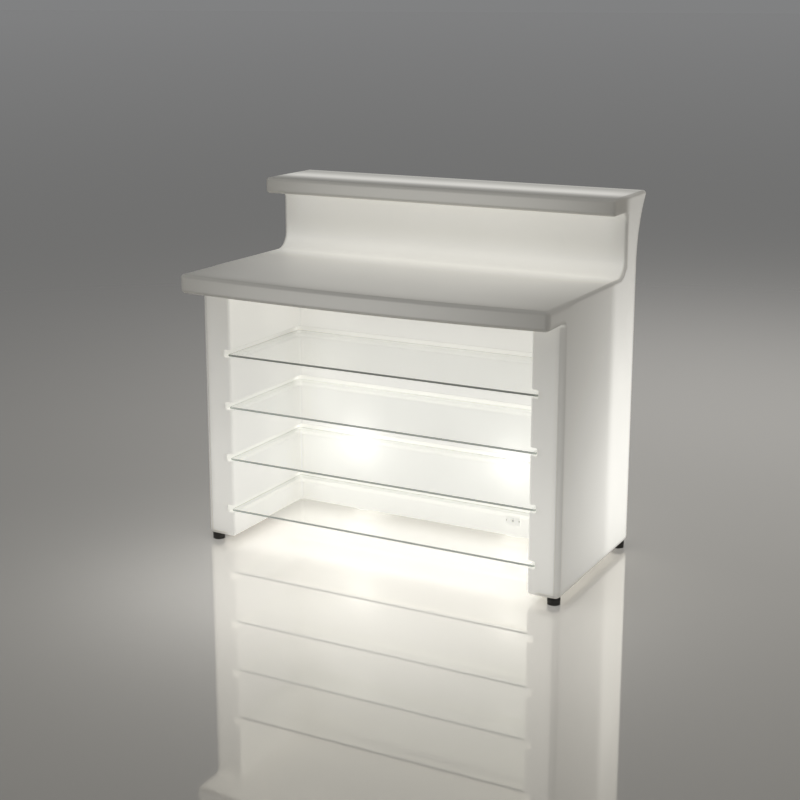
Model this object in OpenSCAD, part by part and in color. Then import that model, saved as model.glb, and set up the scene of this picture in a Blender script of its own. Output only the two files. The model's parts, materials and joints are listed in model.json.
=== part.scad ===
// Back-lit bar counter: one hollow rotational moulding with a worktop on the bartender's side, a raised
// ledge for the customers and moulded grooves that carry four glass shelves. Two lamps stand in the hollow
// rear wall, and four levelling feet carry the counter.
// Millimetres, +Z up, -Y is the bartender's open side, and the origin is the middle of the footprint.

/* [Overall size] */
// Width over both side walls
counter_w = 1180; // [900:10:1600]
// Depth from the bowed worktop edge to the flared ledge edge
counter_d = 766; // [720:2:960]
// Height of the customers' ledge above the floor
counter_h = 1100; // [1050:5:1250]
// Height of the worktop above the floor
worktop_h = 862; // [840:2:900]
// Space between the moulding and the floor
floor_gap = 20; // [17:1:26]

/* [Moulding] */
// Thickness of the moulded skin
skin_t = 5; // [4:0.5:7]
// Height of the worktop's front lip
worktop_lip = 57; // [46:1:80]
// How far the worktop's corners reach past the side walls' front faces
overhang = 111; // [60:1:150]
// How far the middle of the worktop's edge bows out past its corners
front_bow = 31; // [8:1:45]
// Thickness of each hollow side wall
side_wall = 96; // [84:1:120]
// Thickness of the hollow rear wall below the worktop
rear_wall = 159; // [150:1:190]
// Thickness of the rear wall above the worktop
upper_wall = 89; // [70:1:110]
// Height of the ledge's lip
ledge_lip = 50; // [40:1:70]
// How far the ledge reaches out over the worktop
ledge_overhang = 108; // [70:1:140]
// How far the rear wall flares out under the ledge's rear edge
flare_out = 65; // [45:1:80]
// Slope of the flare at the top, from the upright
flare_angle = 36; // [28:1:42]

/* [Rounding] */
// Radius of the lips' long edges
lip_r = 10; // [6:0.5:14]
// Radius of the side walls' outer front edges
outer_r = 16; // [8:1:24]
// Radius of the side walls' inner front edges
inner_r = 9; // [5:1:14]
// Radius of the moulding's long bottom edges
bottom_r = 12; // [8:1:16]
// Radius of the fillet between the worktop and the riser
worktop_fillet = 52; // [25:1:70]
// Radius of the fillet between the riser and the ledge
ledge_fillet = 26; // [15:1:40]
// Radius of the worktop's front corners, seen from above
corner_r = 12; // [6:1:30]
// Radius of the fillet between the rear wall and the underside of the worktop
ceiling_fillet = 22; // [10:1:40]

/* [Glass shelves] */
// Thickness of the glass
glass_t = 6; // [5:1:10]
// Height of the lowest shelf's underside
shelf_z = 100; // [92:1:110]
// Distance from one shelf to the next
shelf_pitch = 165; // [150:1:170]
// How far the glass lies behind the side walls' front faces
glass_setback = 12; // [5:1:40]
// How far the glass reaches into each groove
glass_grip = 17; // [10:1:18]
// Depth of the grooves
groove_depth = 22; // [20:1:26]
// Height of the grooves
groove_h = 22; // [18:1:28]
// Radius inside the grooves
groove_r = 4.5; // [2:0.5:5]
// Radius of the glass's front corners
glass_corner_r = 6; // [2:1:20]

/* [Feet] */
// Diameter of a foot's pad
pad_d = 38; // [32:1:46]
// Distance of a foot's axis from the moulding's outer faces
foot_inset = 22; // [20:1:30]
// Diameter of the levelling screw
screw_d = 10; // [8:1:12]
// Running clearance round the levelling screw
screw_clear = 0.08; // [0.05:0.01:0.1]
// Length of the levelling screw
screw_len = 50; // [44:1:60]
// Outer diameter of the threaded insert
insert_d = 15; // [14:1:20]
// Length of the threaded insert
insert_len = 25; // [18:1:30]
// Thickness of the moulded boss round an insert
boss_wall = 10; // [6:1:14]

/* [Lamps] */
// Distance of each lamp from the counter's middle
lamp_x = 270; // [200:5:360]
// Height of the lamps' centres
lamp_z = 262; // [230:2:300]
// Diameter of a lamp's globe
globe_d = 60; // [50:1:70]
// Diameter of the access hole under a lamp
access_d = 96; // [80:1:100]
// Width of the rim that a cover has round its access hole
cover_rim = 17; // [14:1:20]
// Thickness of a cover
cover_t = 3.5; // [2:0.5:4]
// Thickness of a cover's gasket
gasket_t = 1.5; // [1:0.5:2]
// Outer diameter of a lamp's stand tube
stand_d = 16; // [12:1:20]
// Diameter of the lampholder
holder_d = 40; // [36:1:46]

/* [Cable outlet] */
// Place of the outlet across the counter
outlet_x = 274; // [255:1:300]
// Height of the outlet's centre
outlet_z = 74; // [66:1:76]
// Width of the outlet plate
outlet_w = 50; // [50:1:60]
// Height of the outlet plate
outlet_h = 32; // [32:1:34]
// Outer diameter of the inner leads
lead_d = 6; // [4:0.5:7]

/* [Hidden] */
$fn = 48;

// Allowances: how far a cut runs past the face it opens, how far a groove's section starts in front of its
// wall, and the least radius that a rounded inner edge keeps
cut = 1;
groove_lap = 0.01;
least_r = 1;

// Places of the main faces, from the front to the back
half_w = counter_w / 2;
front_y = -counter_d / 2;
wall_front_y = front_y + front_bow + overhang;
rear_y = counter_d / 2 - flare_out;
inner_back_y = rear_y - rear_wall;
riser_y = rear_y - upper_wall;
ledge_front_y = riser_y - ledge_overhang;
inner_half_w = half_w - side_wall;
worktop_under = worktop_h - worktop_lip;
ledge_under = counter_h - ledge_lip;

// The flare's sharp corner lies past its rounded tip by as much as the rounding takes off
tip_half = (90 - flare_angle) / 2;
tip_trim = lip_r / tan(tip_half);
flare_run = flare_out + tip_trim - lip_r;
flare_start_z = counter_h - flare_run / tan(flare_angle);
flare_length = flare_run / sin(flare_angle) - tip_trim;
flare_r = flare_length / tan(flare_angle / 2);

// Glass shelves
shelf_count = 4;
glass_half_w = inner_half_w + glass_grip;
glass_front_y = wall_front_y + glass_setback;
glass_back_y = inner_back_y + glass_grip;

// Feet
foot_xy = [for (sy = [0, 1], sx = [-1, 1])
    [sx * (half_w - foot_inset), sy == 0 ? wall_front_y + foot_inset : rear_y - foot_inset]];
pad_gap = 1.5;
pad_h = floor_gap - pad_gap;
head_d = screw_d + 6;
head_h = 5;
head_play = 0.3;
pad_floor = 4;
insert_fit = 0.1;
screw_room = 2;
room_above_screw = 12;
boss_top = pad_floor + screw_len + room_above_screw;

// Lamps
lamp_y = inner_back_y + rear_wall / 2;
cover_d = access_d + 2 * cover_rim;
cover_screw_pcd = access_d + cover_rim;
cover_z = floor_gap - gasket_t - cover_t;
cap_d = 26.5;
cap_foot_d = 20.5;
cap_h = 24;
contact_d = 8.8;
housing_foot_d = 29.5;
housing_h = 34;
housing_top_d = 0.76 * globe_d;
globe_seat = 0.36 * globe_d;
housing_z = lamp_z - globe_seat - housing_h;
holder_h = 52;
holder_rim = 8;
holder_z = housing_z - holder_h;
stand_z = cover_z + cover_t;
stand_flange_t = 4;
stand_wall = 1.5;
ring_clear = 1;
ring_wall = 3;
ring_rise = 3;
gasket_inset = 1;
screw_shank_d = 4;
screw_hole_d = 4.2;
screw_pass_d = 4.8;

// Cable outlet
plate_t = 2.5;
plate_corner_r = 3;
terminal_inset_side = 7;
terminal_inset_end = 6;
terminal_w = outlet_w - 2 * terminal_inset_side;
terminal_h = outlet_h - 2 * terminal_inset_end;
terminal_depth = 30;
outlet_clear = 0.5;
outlet_screw_edge = 3.5;
outlet_screw_gap = outlet_w / 2 - outlet_screw_edge;
outlet_screw_d = 3;
outlet_hole_d = 3.2;
bushing_wall = 2;
bushing_rise = 2.5;
bushing_lip = 1.5;
entry_d = lead_d + 1;
entry_depth = 11;
bushing_d = entry_d + 2 * bushing_wall;

// Points of the arc that rounds corner b of the outline a, b, c
function unit(v) = v / norm(v);
function corner_arc(a, b, c, r, n) =
    let (u = unit(a - b), v = unit(c - b), half = acos(u * v) / 2)
    let (start = b + u * r / tan(half), stop = b + v * r / tan(half))
    let (centre = b + unit(u + v) * r / sin(half))
    let (from = atan2(start.y - centre.y, start.x - centre.x))
    let (to = atan2(stop.y - centre.y, stop.x - centre.x))
    let (sweep = (to - from + 540) % 360 - 180)
    [for (k = [0:n]) centre + r * [cos(from + sweep * k / n), sin(from + sweep * k / n)]];

// An outline whose corners [x, y, radius, steps] are rounded
function rounded(corners) =
    let (m = len(corners), at = function(i) [corners[(i + m) % m][0], corners[(i + m) % m][1]])
    [for (i = [0:m - 1]) each corners[i][2] <= 0
        ? [at(i)]
        : corner_arc(at(i - 1), at(i), at(i + 1), corners[i][2], corners[i][3])];

// Side view of the worktop's rear part, riser, ledge and rear wall, drawn t inside the outer surface.
// Convex corners lose t of their radius, and concave ones gain it.
function spine_outline(t) =
    let (out_r = max(lip_r - t, least_r), low_r = max(bottom_r - t, least_r))
    rounded([
        [wall_front_y, worktop_under + t, 0, 0],
        [wall_front_y, worktop_h - t, 0, 0],
        [riser_y + t, worktop_h - t, worktop_fillet + t, 9],
        [riser_y + t, ledge_under + t, ledge_fillet + t, 7],
        [ledge_front_y + t, ledge_under + t, out_r, 5],
        [ledge_front_y + t, counter_h - t, out_r, 5],
        [rear_y + flare_run - t / tan(tip_half), counter_h - t, out_r, 6],
        [rear_y - t, flare_start_z + t * tan(flare_angle / 2), flare_r + t, 12],
        [rear_y - t, floor_gap + t, low_r, 5],
        [inner_back_y + t, floor_gap + t, low_r, 5],
        [inner_back_y + t, worktop_under + t, ceiling_fillet + t, 7]
    ]);

module spine(t) {
    translate([-half_w + t, 0, 0])
        rotate([90, 0, 90])
            linear_extrude(counter_w - 2 * t)
                polygon(spine_outline(t));
}

// The worktop's front edge is an arc of a large circle through both corners and the bowed middle
bow_r = (half_w * half_w + front_bow * front_bow) / (2 * front_bow);
bow_angle = asin(half_w / bow_r);
corner_y = front_y + front_bow;
bow_margin = 1;
strip_lap = 40;

// The front strip of the worktop: its section revolved along the bow, cut to the counter's width with
// rounded corners
module bowed_lip(t) {
    out_r = max(lip_r - t, least_r);
    strip = front_bow + overhang + strip_lap;
    intersection() {
        translate([0, front_y + bow_r, 0])
            rotate([0, 0, -90 - bow_angle - bow_margin])
                rotate_extrude(angle = 2 * (bow_angle + bow_margin), $fn = 1440)
                    polygon(rounded([
                        [bow_r - strip, worktop_under + t, 0, 0],
                        [bow_r - t, worktop_under + t, out_r, 5],
                        [bow_r - t, worktop_h - t, out_r, 5],
                        [bow_r - strip, worktop_h - t, 0, 0]
                    ]));
        linear_extrude(counter_h)
            polygon(rounded([
                [-half_w + t, wall_front_y + 2 * strip_lap, 0, 0],
                [-half_w + t, corner_y + t, max(corner_r - t, least_r), 6],
                [0, corner_y + t - half_w * tan(bow_angle), 0, 0],
                [half_w - t, corner_y + t, max(corner_r - t, least_r), 6],
                [half_w - t, wall_front_y + 2 * strip_lap, 0, 0]
            ]));
    }
}

// One hollow side wall, on the right, with rounded front edges. Its top ends inside the worktop, and its back
// inside the rear wall.
module side_block(t) {
    top = worktop_h - worktop_lip / 3;
    translate([0, 0, floor_gap + t])
        linear_extrude(top - floor_gap - t)
            polygon(rounded([
                [inner_half_w + t, inner_back_y + rear_wall / 2, 0, 0],
                [inner_half_w + t, wall_front_y + t, max(inner_r - t, least_r), 5],
                [half_w - t, wall_front_y + t, max(outer_r - t, least_r), 6],
                [half_w - t, inner_back_y + rear_wall / 2, 0, 0]
            ]));
}

module both_sides() {
    children();
    mirror([1, 0, 0]) children();
}

// Two bars along the side walls and one along the rear wall, grown by t on every side
module groove(t) {
    across = 2 * (inner_half_w + groove_depth + t);
    section = [
        [0, -t, 0, 0],
        [groove_depth + t, -t, groove_r + t, 4],
        [groove_depth + t, groove_h + t, groove_r + t, 4],
        [0, groove_h + t, 0, 0]
    ];
    both_sides()
        translate([inner_half_w - groove_lap, inner_back_y + groove_depth + t, 0])
            rotate([90, 0, 0])
                linear_extrude(inner_back_y + groove_depth - wall_front_y + cut + 2 * t)
                    polygon(rounded(section));
    translate([across / 2, inner_back_y - groove_lap, 0])
        rotate([90, 0, -90])
            linear_extrude(across)
                mirror([1, 0])
                    polygon(rounded(section));
}

module body_shell() {
    color("ivory")
        difference() {
            union() {
                spine(0);
                bowed_lip(0);
                both_sides() side_block(0);
            }
            for (k = [0:shelf_count - 1])
                translate([0, 0, shelf_z + k * shelf_pitch])
                    groove(0);
            difference() {
                union() {
                    spine(skin_t);
                    bowed_lip(skin_t);
                    both_sides() side_block(skin_t);
                }
                for (k = [0:shelf_count - 1])
                    translate([0, 0, shelf_z + k * shelf_pitch])
                        groove(skin_t);
                for (p = foot_xy)
                    translate([p.x, p.y, 0])
                        cylinder(d = insert_d + 2 * boss_wall, h = boss_top + skin_t);
            }
            for (p = foot_xy)
                translate([p.x, p.y, floor_gap - cut]) {
                    cylinder(d = insert_d + insert_fit, h = insert_len + cut);
                    cylinder(d = screw_d + screw_room, h = boss_top - floor_gap + cut);
                }
            for (sx = [-1, 1])
                translate([sx * lamp_x, lamp_y, floor_gap - cut]) {
                    cylinder(d = access_d, h = skin_t + 2 * cut);
                    cover_screw_places() cylinder(d = screw_hole_d, h = skin_t + 2 * cut);
                }
            translate([outlet_x, inner_back_y - cut, outlet_z]) {
                translate([-terminal_w / 2 - outlet_clear, 0, -terminal_h / 2 - outlet_clear])
                    cube([terminal_w + 2 * outlet_clear, skin_t + 2 * cut, terminal_h + 2 * outlet_clear]);
                outlet_screw_places() cylinder(d = outlet_hole_d, h = skin_t + 2 * cut);
            }
        }
}

module cover_screw_places() {
    for (a = [45:90:315])
        translate([cover_screw_pcd / 2 * cos(a), cover_screw_pcd / 2 * sin(a), 0])
            children();
}

module outlet_screw_places() {
    for (sx = [-1, 1])
        translate([sx * outlet_screw_gap, 0, 0])
            rotate([-90, 0, 0])
                children();
}

// A pane of glass with ground edges, lying on the floors of its grooves
module glass_shelf(k) {
    grind = 0.8;
    color("lightcyan", 0.5)
        translate([0, 0, shelf_z + (k - 1) * shelf_pitch])
            intersection() {
                linear_extrude(glass_t)
                    polygon(rounded([
                        [-glass_half_w, glass_front_y, glass_corner_r, 4],
                        [glass_half_w, glass_front_y, glass_corner_r, 4],
                        [glass_half_w, glass_back_y, 0, 0],
                        [-glass_half_w, glass_back_y, 0, 0]
                    ]));
                translate([-glass_half_w - cut, 0, 0])
                    rotate([90, 0, 90])
                        linear_extrude(2 * (glass_half_w + cut))
                            polygon([
                                [glass_front_y, grind],
                                [glass_front_y + grind, 0],
                                [glass_back_y, 0],
                                [glass_back_y, glass_t],
                                [glass_front_y + grind, glass_t],
                                [glass_front_y, glass_t - grind]
                            ]);
            }
}

// Threaded insert, moulded into the boss over a foot and held there by two rings turned into its side
module foot_insert(k) {
    ring_depth = 1;
    ring_h = 2;
    color("silver")
        translate([foot_xy[k - 1].x, foot_xy[k - 1].y, floor_gap])
            difference() {
                cylinder(d = insert_d, h = insert_len);
                translate([0, 0, -cut])
                    cylinder(d = screw_d + 2 * screw_clear, h = insert_len + 2 * cut);
                for (z = [insert_len / 3, insert_len * 2 / 3])
                    translate([0, 0, z])
                        difference() {
                            cylinder(d = insert_d + 2 * cut, h = ring_h, center = true);
                            cylinder(d = insert_d - 2 * ring_depth, h = ring_h + cut, center = true);
                        }
            }
}

// Levelling screw, whose head turns in the pad's socket
module foot_screw(k) {
    tip_h = 1;
    color("gainsboro")
        translate([foot_xy[k - 1].x, foot_xy[k - 1].y, pad_floor]) {
            cylinder(d = head_d, h = head_h);
            translate([0, 0, head_h])
                cylinder(d = screw_d, h = screw_len - head_h - tip_h);
            translate([0, 0, screw_len - tip_h])
                cylinder(d1 = screw_d, d2 = screw_d - 2 * tip_h, h = tip_h);
        }
}

// Black pad, turned round its screw: a wide sole, a slightly waisted side and a socket for the screw's head
module foot_pad(k) {
    sole_h = 3;
    sole_inset = 0.5;
    sole_edge = 1;
    bulge_rise = 1.5;
    shoulder = 2;
    color("#1c1c1c")
        translate([foot_xy[k - 1].x, foot_xy[k - 1].y, 0])
            difference() {
                rotate_extrude()
                    polygon([
                        [0, 0],
                        [pad_d / 2 - sole_inset - sole_edge, 0],
                        [pad_d / 2 - sole_inset, sole_edge],
                        [pad_d / 2 - sole_inset, sole_h],
                        [pad_d / 2, sole_h + bulge_rise],
                        [pad_d / 2, pad_h - shoulder],
                        [pad_d / 2 - shoulder, pad_h],
                        [0, pad_h]
                    ]);
                translate([0, 0, pad_floor])
                    cylinder(d = head_d + 2 * screw_clear, h = head_h + head_play);
                translate([0, 0, pad_floor + cut])
                    cylinder(d = screw_d + 2 * screw_clear, h = pad_h);
            }
}

// The pieces of one lamp stand at its place in the rear wall
module at_lamp(side) {
    translate([side == "left" ? -lamp_x : lamp_x, lamp_y, 0])
        children();
}

// Round cover that closes the access hole from below, with a ring that centres it in the hole
module lamp_cover(side) {
    color("whitesmoke")
        at_lamp(side)
            translate([0, 0, cover_z])
                difference() {
                    union() {
                        cylinder(d = cover_d, h = cover_t, $fn = 96);
                        difference() {
                            cylinder(d = access_d - ring_clear, h = cover_t + gasket_t + ring_rise, $fn = 96);
                            translate([0, 0, cover_t])
                                cylinder(
                                    d = access_d - ring_clear - 2 * ring_wall,
                                    h = gasket_t + ring_rise + cut,
                                    $fn = 96
                                );
                        }
                    }
                    translate([0, 0, -cut])
                        cover_screw_places() cylinder(d = screw_pass_d, h = cover_t + 2 * cut);
                }
}

module lamp_gasket(side) {
    color("dimgray")
        at_lamp(side)
            translate([0, 0, cover_z + cover_t])
                difference() {
                    cylinder(d = cover_d - 2 * gasket_inset, h = gasket_t, $fn = 96);
                    translate([0, 0, -cut])
                        cylinder(d = access_d + 2 * gasket_inset, h = gasket_t + 2 * cut, $fn = 96);
                    translate([0, 0, -cut])
                        cover_screw_places() cylinder(d = screw_pass_d, h = gasket_t + 2 * cut);
                }
}

// Tube on a flange, which lifts the lampholder to its height
module lamp_stand(side) {
    color("silver")
        at_lamp(side)
            translate([0, 0, stand_z])
                difference() {
                    union() {
                        cylinder(d = holder_d, h = stand_flange_t);
                        cylinder(d = stand_d, h = holder_z - stand_z);
                    }
                    translate([0, 0, stand_flange_t])
                        cylinder(d = stand_d - 2 * stand_wall, h = holder_z);
                }
}

// Lampholder, a cup with a screw socket
module lamp_holder(side) {
    floor_t = 8;
    rim_taper = 3;
    cap_clear = 0.6;
    color("white")
        at_lamp(side)
            translate([0, 0, holder_z])
                difference() {
                    union() {
                        cylinder(d = holder_d, h = holder_h - holder_rim);
                        translate([0, 0, holder_h - holder_rim])
                            cylinder(d1 = holder_d, d2 = holder_d - rim_taper, h = holder_rim);
                    }
                    translate([0, 0, floor_t])
                        cylinder(d = cap_d + cap_clear, h = holder_h);
                }
}

// Screw cap of the lamp, with its rolled thread and the contact below it
module lamp_cap(side) {
    contact_h = 4;
    thread_pitch = 4;
    thread_depth = 1.2;
    thread_land = 1.2;
    color("silver")
        at_lamp(side)
            translate([0, 0, housing_z - cap_h]) {
                for (z = [0:thread_pitch:cap_h - thread_pitch])
                    translate([0, 0, z])
                        rotate_extrude()
                            polygon([
                                [0, 0],
                                [cap_d / 2 - thread_depth, 0],
                                [cap_d / 2, (thread_pitch - thread_land) / 2],
                                [cap_d / 2, (thread_pitch + thread_land) / 2],
                                [cap_d / 2 - thread_depth, thread_pitch],
                                [0, thread_pitch]
                            ]);
                translate([0, 0, -contact_h])
                    cylinder(d1 = contact_d, d2 = cap_foot_d, h = contact_h);
            }
}

// White housing between the cap and the globe
module lamp_housing(side) {
    color("white")
        at_lamp(side)
            translate([0, 0, housing_z])
                cylinder(d1 = housing_foot_d, d2 = housing_top_d, h = housing_h);
}

// Opal globe, a thin ball cut open where the housing closes it
module lamp_globe(side) {
    globe_t = 1.5;
    color("lemonchiffon")
        at_lamp(side)
            translate([0, 0, lamp_z])
                difference() {
                    sphere(d = globe_d);
                    sphere(d = globe_d - 2 * globe_t);
                    translate([0, 0, -globe_seat - globe_d])
                        cylinder(d = globe_d * 2, h = globe_d);
                }
}

// Eight pan-head screws, four under each cover
module cover_screws() {
    head_t = 2.4;
    head_w = 8;
    head_edge_w = 6.4;
    tip_out = 1;
    color("silver")
        for (side = ["left", "right"])
            at_lamp(side)
                translate([0, 0, cover_z])
                    cover_screw_places() {
                        translate([0, 0, -head_t])
                            cylinder(d1 = head_edge_w, d2 = head_w, h = head_t);
                        cylinder(d = screw_shank_d, h = cover_t + gasket_t + skin_t + tip_out);
                    }
}

// Plate that closes the cable outlet at the foot of the rear wall
module outlet_plate() {
    color("lightgray")
        translate([outlet_x, inner_back_y, outlet_z])
            rotate([90, 0, 0])
                difference() {
                    linear_extrude(plate_t)
                        polygon(rounded([
                            [-outlet_w / 2, -outlet_h / 2, plate_corner_r, 4],
                            [outlet_w / 2, -outlet_h / 2, plate_corner_r, 4],
                            [outlet_w / 2, outlet_h / 2, plate_corner_r, 4],
                            [-outlet_w / 2, outlet_h / 2, plate_corner_r, 4]
                        ]));
                    translate([0, 0, -cut])
                        cylinder(d = bushing_d, h = plate_t + 2 * cut);
                    for (sx = [-1, 1])
                        translate([sx * outlet_screw_gap, 0, -cut])
                            cylinder(d = outlet_hole_d, h = plate_t + 2 * cut);
                }
}

// Soft bushing in the plate, where the supply cable would pass
module outlet_bushing() {
    color("darkgray")
        translate([outlet_x, inner_back_y, outlet_z])
            rotate([90, 0, 0])
                difference() {
                    union() {
                        cylinder(d = bushing_d, h = plate_t);
                        translate([0, 0, plate_t])
                            cylinder(d1 = bushing_d + 2 * bushing_lip, d2 = bushing_d, h = bushing_rise);
                    }
                    translate([0, 0, -cut])
                        cylinder(d = entry_d, h = plate_t + bushing_rise + 2 * cut);
                }
}

// Two pan-head screws that hold the outlet plate to the moulding
module outlet_screws() {
    head_t = 1.6;
    head_w = 5.6;
    head_edge_w = 4.2;
    color("silver")
        translate([outlet_x, inner_back_y, outlet_z])
            rotate([90, 0, 0])
                for (sx = [-1, 1])
                    translate([sx * outlet_screw_gap, 0, 0]) {
                        translate([0, 0, -skin_t])
                            cylinder(d = outlet_screw_d, h = skin_t + plate_t);
                        translate([0, 0, plate_t])
                            cylinder(d1 = head_w, d2 = head_edge_w, h = head_t);
                    }
}

// Terminal box on the back of the outlet plate, reaching through the wall into the hollow
module terminal_box() {
    color("dimgray")
        translate([outlet_x - terminal_w / 2, inner_back_y, outlet_z - terminal_h / 2])
            difference() {
                cube([terminal_w, terminal_depth, terminal_h]);
                translate([terminal_w / 2, -cut, terminal_h / 2])
                    rotate([-90, 0, 0])
                        cylinder(d = entry_d, h = entry_depth + cut);
            }
}

// A round lead swept along a route whose corners are eased over the given length
lead_sides = 8;
ease_steps = 4;
function eased(route, ease) = [for (i = [0:len(route) - 1])
    each i == 0 || i == len(route) - 1
        ? [route[i]]
        : let (
            a = route[i] + unit(route[i - 1] - route[i]) * ease,
            c = route[i] + unit(route[i + 1] - route[i]) * ease
        )
        [for (s = [0:ease_steps])
            let (w = s / ease_steps) (1 - w) * (1 - w) * a + 2 * w * (1 - w) * route[i] + w * w * c]];

module lead(route, ease, aside) {
    points = eased(route, ease);
    last = len(points) - 1;
    rings = [for (i = [0:last])
        let (along = unit(points[min(i + 1, last)] - points[max(i - 1, 0)]))
        let (u = unit(cross(along, aside)), v = cross(along, u))
        for (s = [0:lead_sides - 1])
            let (a = 360 * s / lead_sides)
            points[i] + lead_d / 2 * (cos(a) * u + sin(a) * v)];
    sides = [for (i = [0:last - 1], s = [0:lead_sides - 1])
        let (n = (s + 1) % lead_sides, base = i * lead_sides)
        [base + s, base + n, base + lead_sides + n, base + lead_sides + s]];
    first_face = [for (s = [lead_sides - 1:-1:0]) s];
    last_face = [for (s = [0:lead_sides - 1]) last * lead_sides + s];
    polyhedron(points = rings, faces = concat([first_face], sides, [last_face]));
}

hollow_floor = floor_gap + skin_t + lead_d / 2;
beside_stand = stand_d / 2 + lead_d / 2 + 1;

// From the terminal box along the hollow's floor and up beside the left stand
module lead_left() {
    leave = [outlet_x - terminal_w / 2, inner_back_y + 22, outlet_z];
    color("white")
        lead([
            leave,
            leave - [24, 0, 0],
            [leave.x - 50, leave.y, hollow_floor],
            [0, leave.y, hollow_floor],
            [-lamp_x + 120, leave.y, hollow_floor],
            [-lamp_x + 60, lamp_y, hollow_floor],
            [-lamp_x + beside_stand, lamp_y, hollow_floor],
            [-lamp_x + beside_stand, lamp_y, holder_z]
        ], 12, [0, 1, 0]);
}

// From the back of the terminal box up beside the right stand
module lead_right() {
    leave = [lamp_x + beside_stand, inner_back_y + terminal_depth, outlet_z];
    color("white")
        lead([
            leave,
            [leave.x, lamp_y, leave.z],
            [leave.x, lamp_y, holder_z]
        ], 18, [1, 0, 0]);
}

body_shell();
for (k = [1:4]) {
    glass_shelf(k);
    foot_insert(k);
    foot_screw(k);
    foot_pad(k);
}
for (side = ["left", "right"]) {
    lamp_cover(side);
    lamp_gasket(side);
    lamp_stand(side);
    lamp_holder(side);
    lamp_cap(side);
    lamp_housing(side);
    lamp_globe(side);
}
cover_screws();
outlet_plate();
outlet_bushing();
outlet_screws();
terminal_box();
lead_left();
lead_right();
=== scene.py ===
import json
import math

import bpy
import numpy as np
from bpy.props import FloatProperty, FloatVectorProperty, PointerProperty
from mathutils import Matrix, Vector


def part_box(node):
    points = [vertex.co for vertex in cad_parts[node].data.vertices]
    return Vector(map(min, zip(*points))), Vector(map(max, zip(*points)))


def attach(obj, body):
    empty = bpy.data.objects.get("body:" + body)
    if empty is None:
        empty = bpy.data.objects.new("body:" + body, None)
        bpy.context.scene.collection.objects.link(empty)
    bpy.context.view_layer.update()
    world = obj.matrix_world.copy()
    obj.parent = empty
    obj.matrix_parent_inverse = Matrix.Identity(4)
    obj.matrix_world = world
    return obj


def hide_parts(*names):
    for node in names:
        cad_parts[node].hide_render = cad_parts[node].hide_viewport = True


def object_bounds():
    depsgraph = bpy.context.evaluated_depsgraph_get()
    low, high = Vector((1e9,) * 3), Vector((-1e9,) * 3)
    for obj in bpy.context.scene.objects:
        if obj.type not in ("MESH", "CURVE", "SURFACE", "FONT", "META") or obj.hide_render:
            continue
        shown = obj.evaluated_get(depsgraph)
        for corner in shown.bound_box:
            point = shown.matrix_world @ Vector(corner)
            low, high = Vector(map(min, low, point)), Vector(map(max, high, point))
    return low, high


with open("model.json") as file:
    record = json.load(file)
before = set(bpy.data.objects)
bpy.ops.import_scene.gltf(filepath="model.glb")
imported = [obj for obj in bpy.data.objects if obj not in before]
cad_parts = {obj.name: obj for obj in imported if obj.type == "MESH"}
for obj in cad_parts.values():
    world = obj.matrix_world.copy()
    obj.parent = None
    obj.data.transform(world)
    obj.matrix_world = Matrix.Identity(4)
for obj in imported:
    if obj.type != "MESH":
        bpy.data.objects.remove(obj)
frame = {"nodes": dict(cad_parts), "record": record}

bl_info = {
    "name": "Back-lit bar counter",
    "version": (1, 0, 0),
    "blender": (4, 5, 0),
    "location": "3D View > Sidebar > Counter",
    "description": "Moulded, back-lit bar counter with glass shelves and levelling feet",
    "category": "Object",
}

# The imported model's box, kept before anything is dressed
CAD_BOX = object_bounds()

MM = 0.001
SHELVES = range(1, 5)
FEET = range(1, 5)
SIDES = ("left", "right")

SHELL_LOW, SHELL_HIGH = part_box("body_shell")
GLOBE_LOW, GLOBE_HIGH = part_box("lamp_globe_right")
COVER_LOW, COVER_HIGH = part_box("lamp_cover_right")
INSERT_LOW, INSERT_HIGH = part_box("foot_insert_4")
SCREW_LOW, SCREW_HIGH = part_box("foot_screw_4")
PLATE_LOW, PLATE_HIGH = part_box("outlet_plate")
TERMINAL_LOW, TERMINAL_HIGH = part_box("terminal_box")
BUSHING_LOW, BUSHING_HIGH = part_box("outlet_bushing")
WORKTOP_Z = next(mount["pos_m"][2] for mount in frame["record"]["mounts"] if mount["name"] == "worktop")


def linear(hex_colour):
    """Turns an sRGB hex colour into the linear red, green and blue that the shaders work in."""
    srgb = np.array([int(hex_colour[i:i + 2], 16) for i in (1, 3, 5)]) / 255
    return tuple(np.where(srgb <= 0.04045, srgb / 12.92, ((srgb + 0.055) / 1.055) ** 2.4).tolist())


def length(name, description, millimetres, least=0.0):
    """A length that a user may change, given in millimetres and kept in metres."""
    return FloatProperty(
        name=name, description=description, default=millimetres * MM, min=least, unit="LENGTH", precision=4
    )


def degrees(name, description, value):
    """An angle that a user may change, given in degrees and kept in radians."""
    return FloatProperty(name=name, description=description, default=math.radians(value), subtype="ANGLE")


def watts(name, description, value):
    """The power of a light, which a user may change."""
    return FloatProperty(name=name, description=description, default=value, min=0, subtype="POWER")


def colour(name, description, hex_colour):
    """A colour that a user may change."""
    return FloatVectorProperty(
        name=name, description=description, default=linear(hex_colour), min=0, max=1, subtype="COLOR"
    )


def factor(name, description, value):
    """A plain number that a user may change."""
    return FloatProperty(name=name, description=description, default=value, min=0)


# ---------------------------------------------------------------------------------------------- sizes


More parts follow.
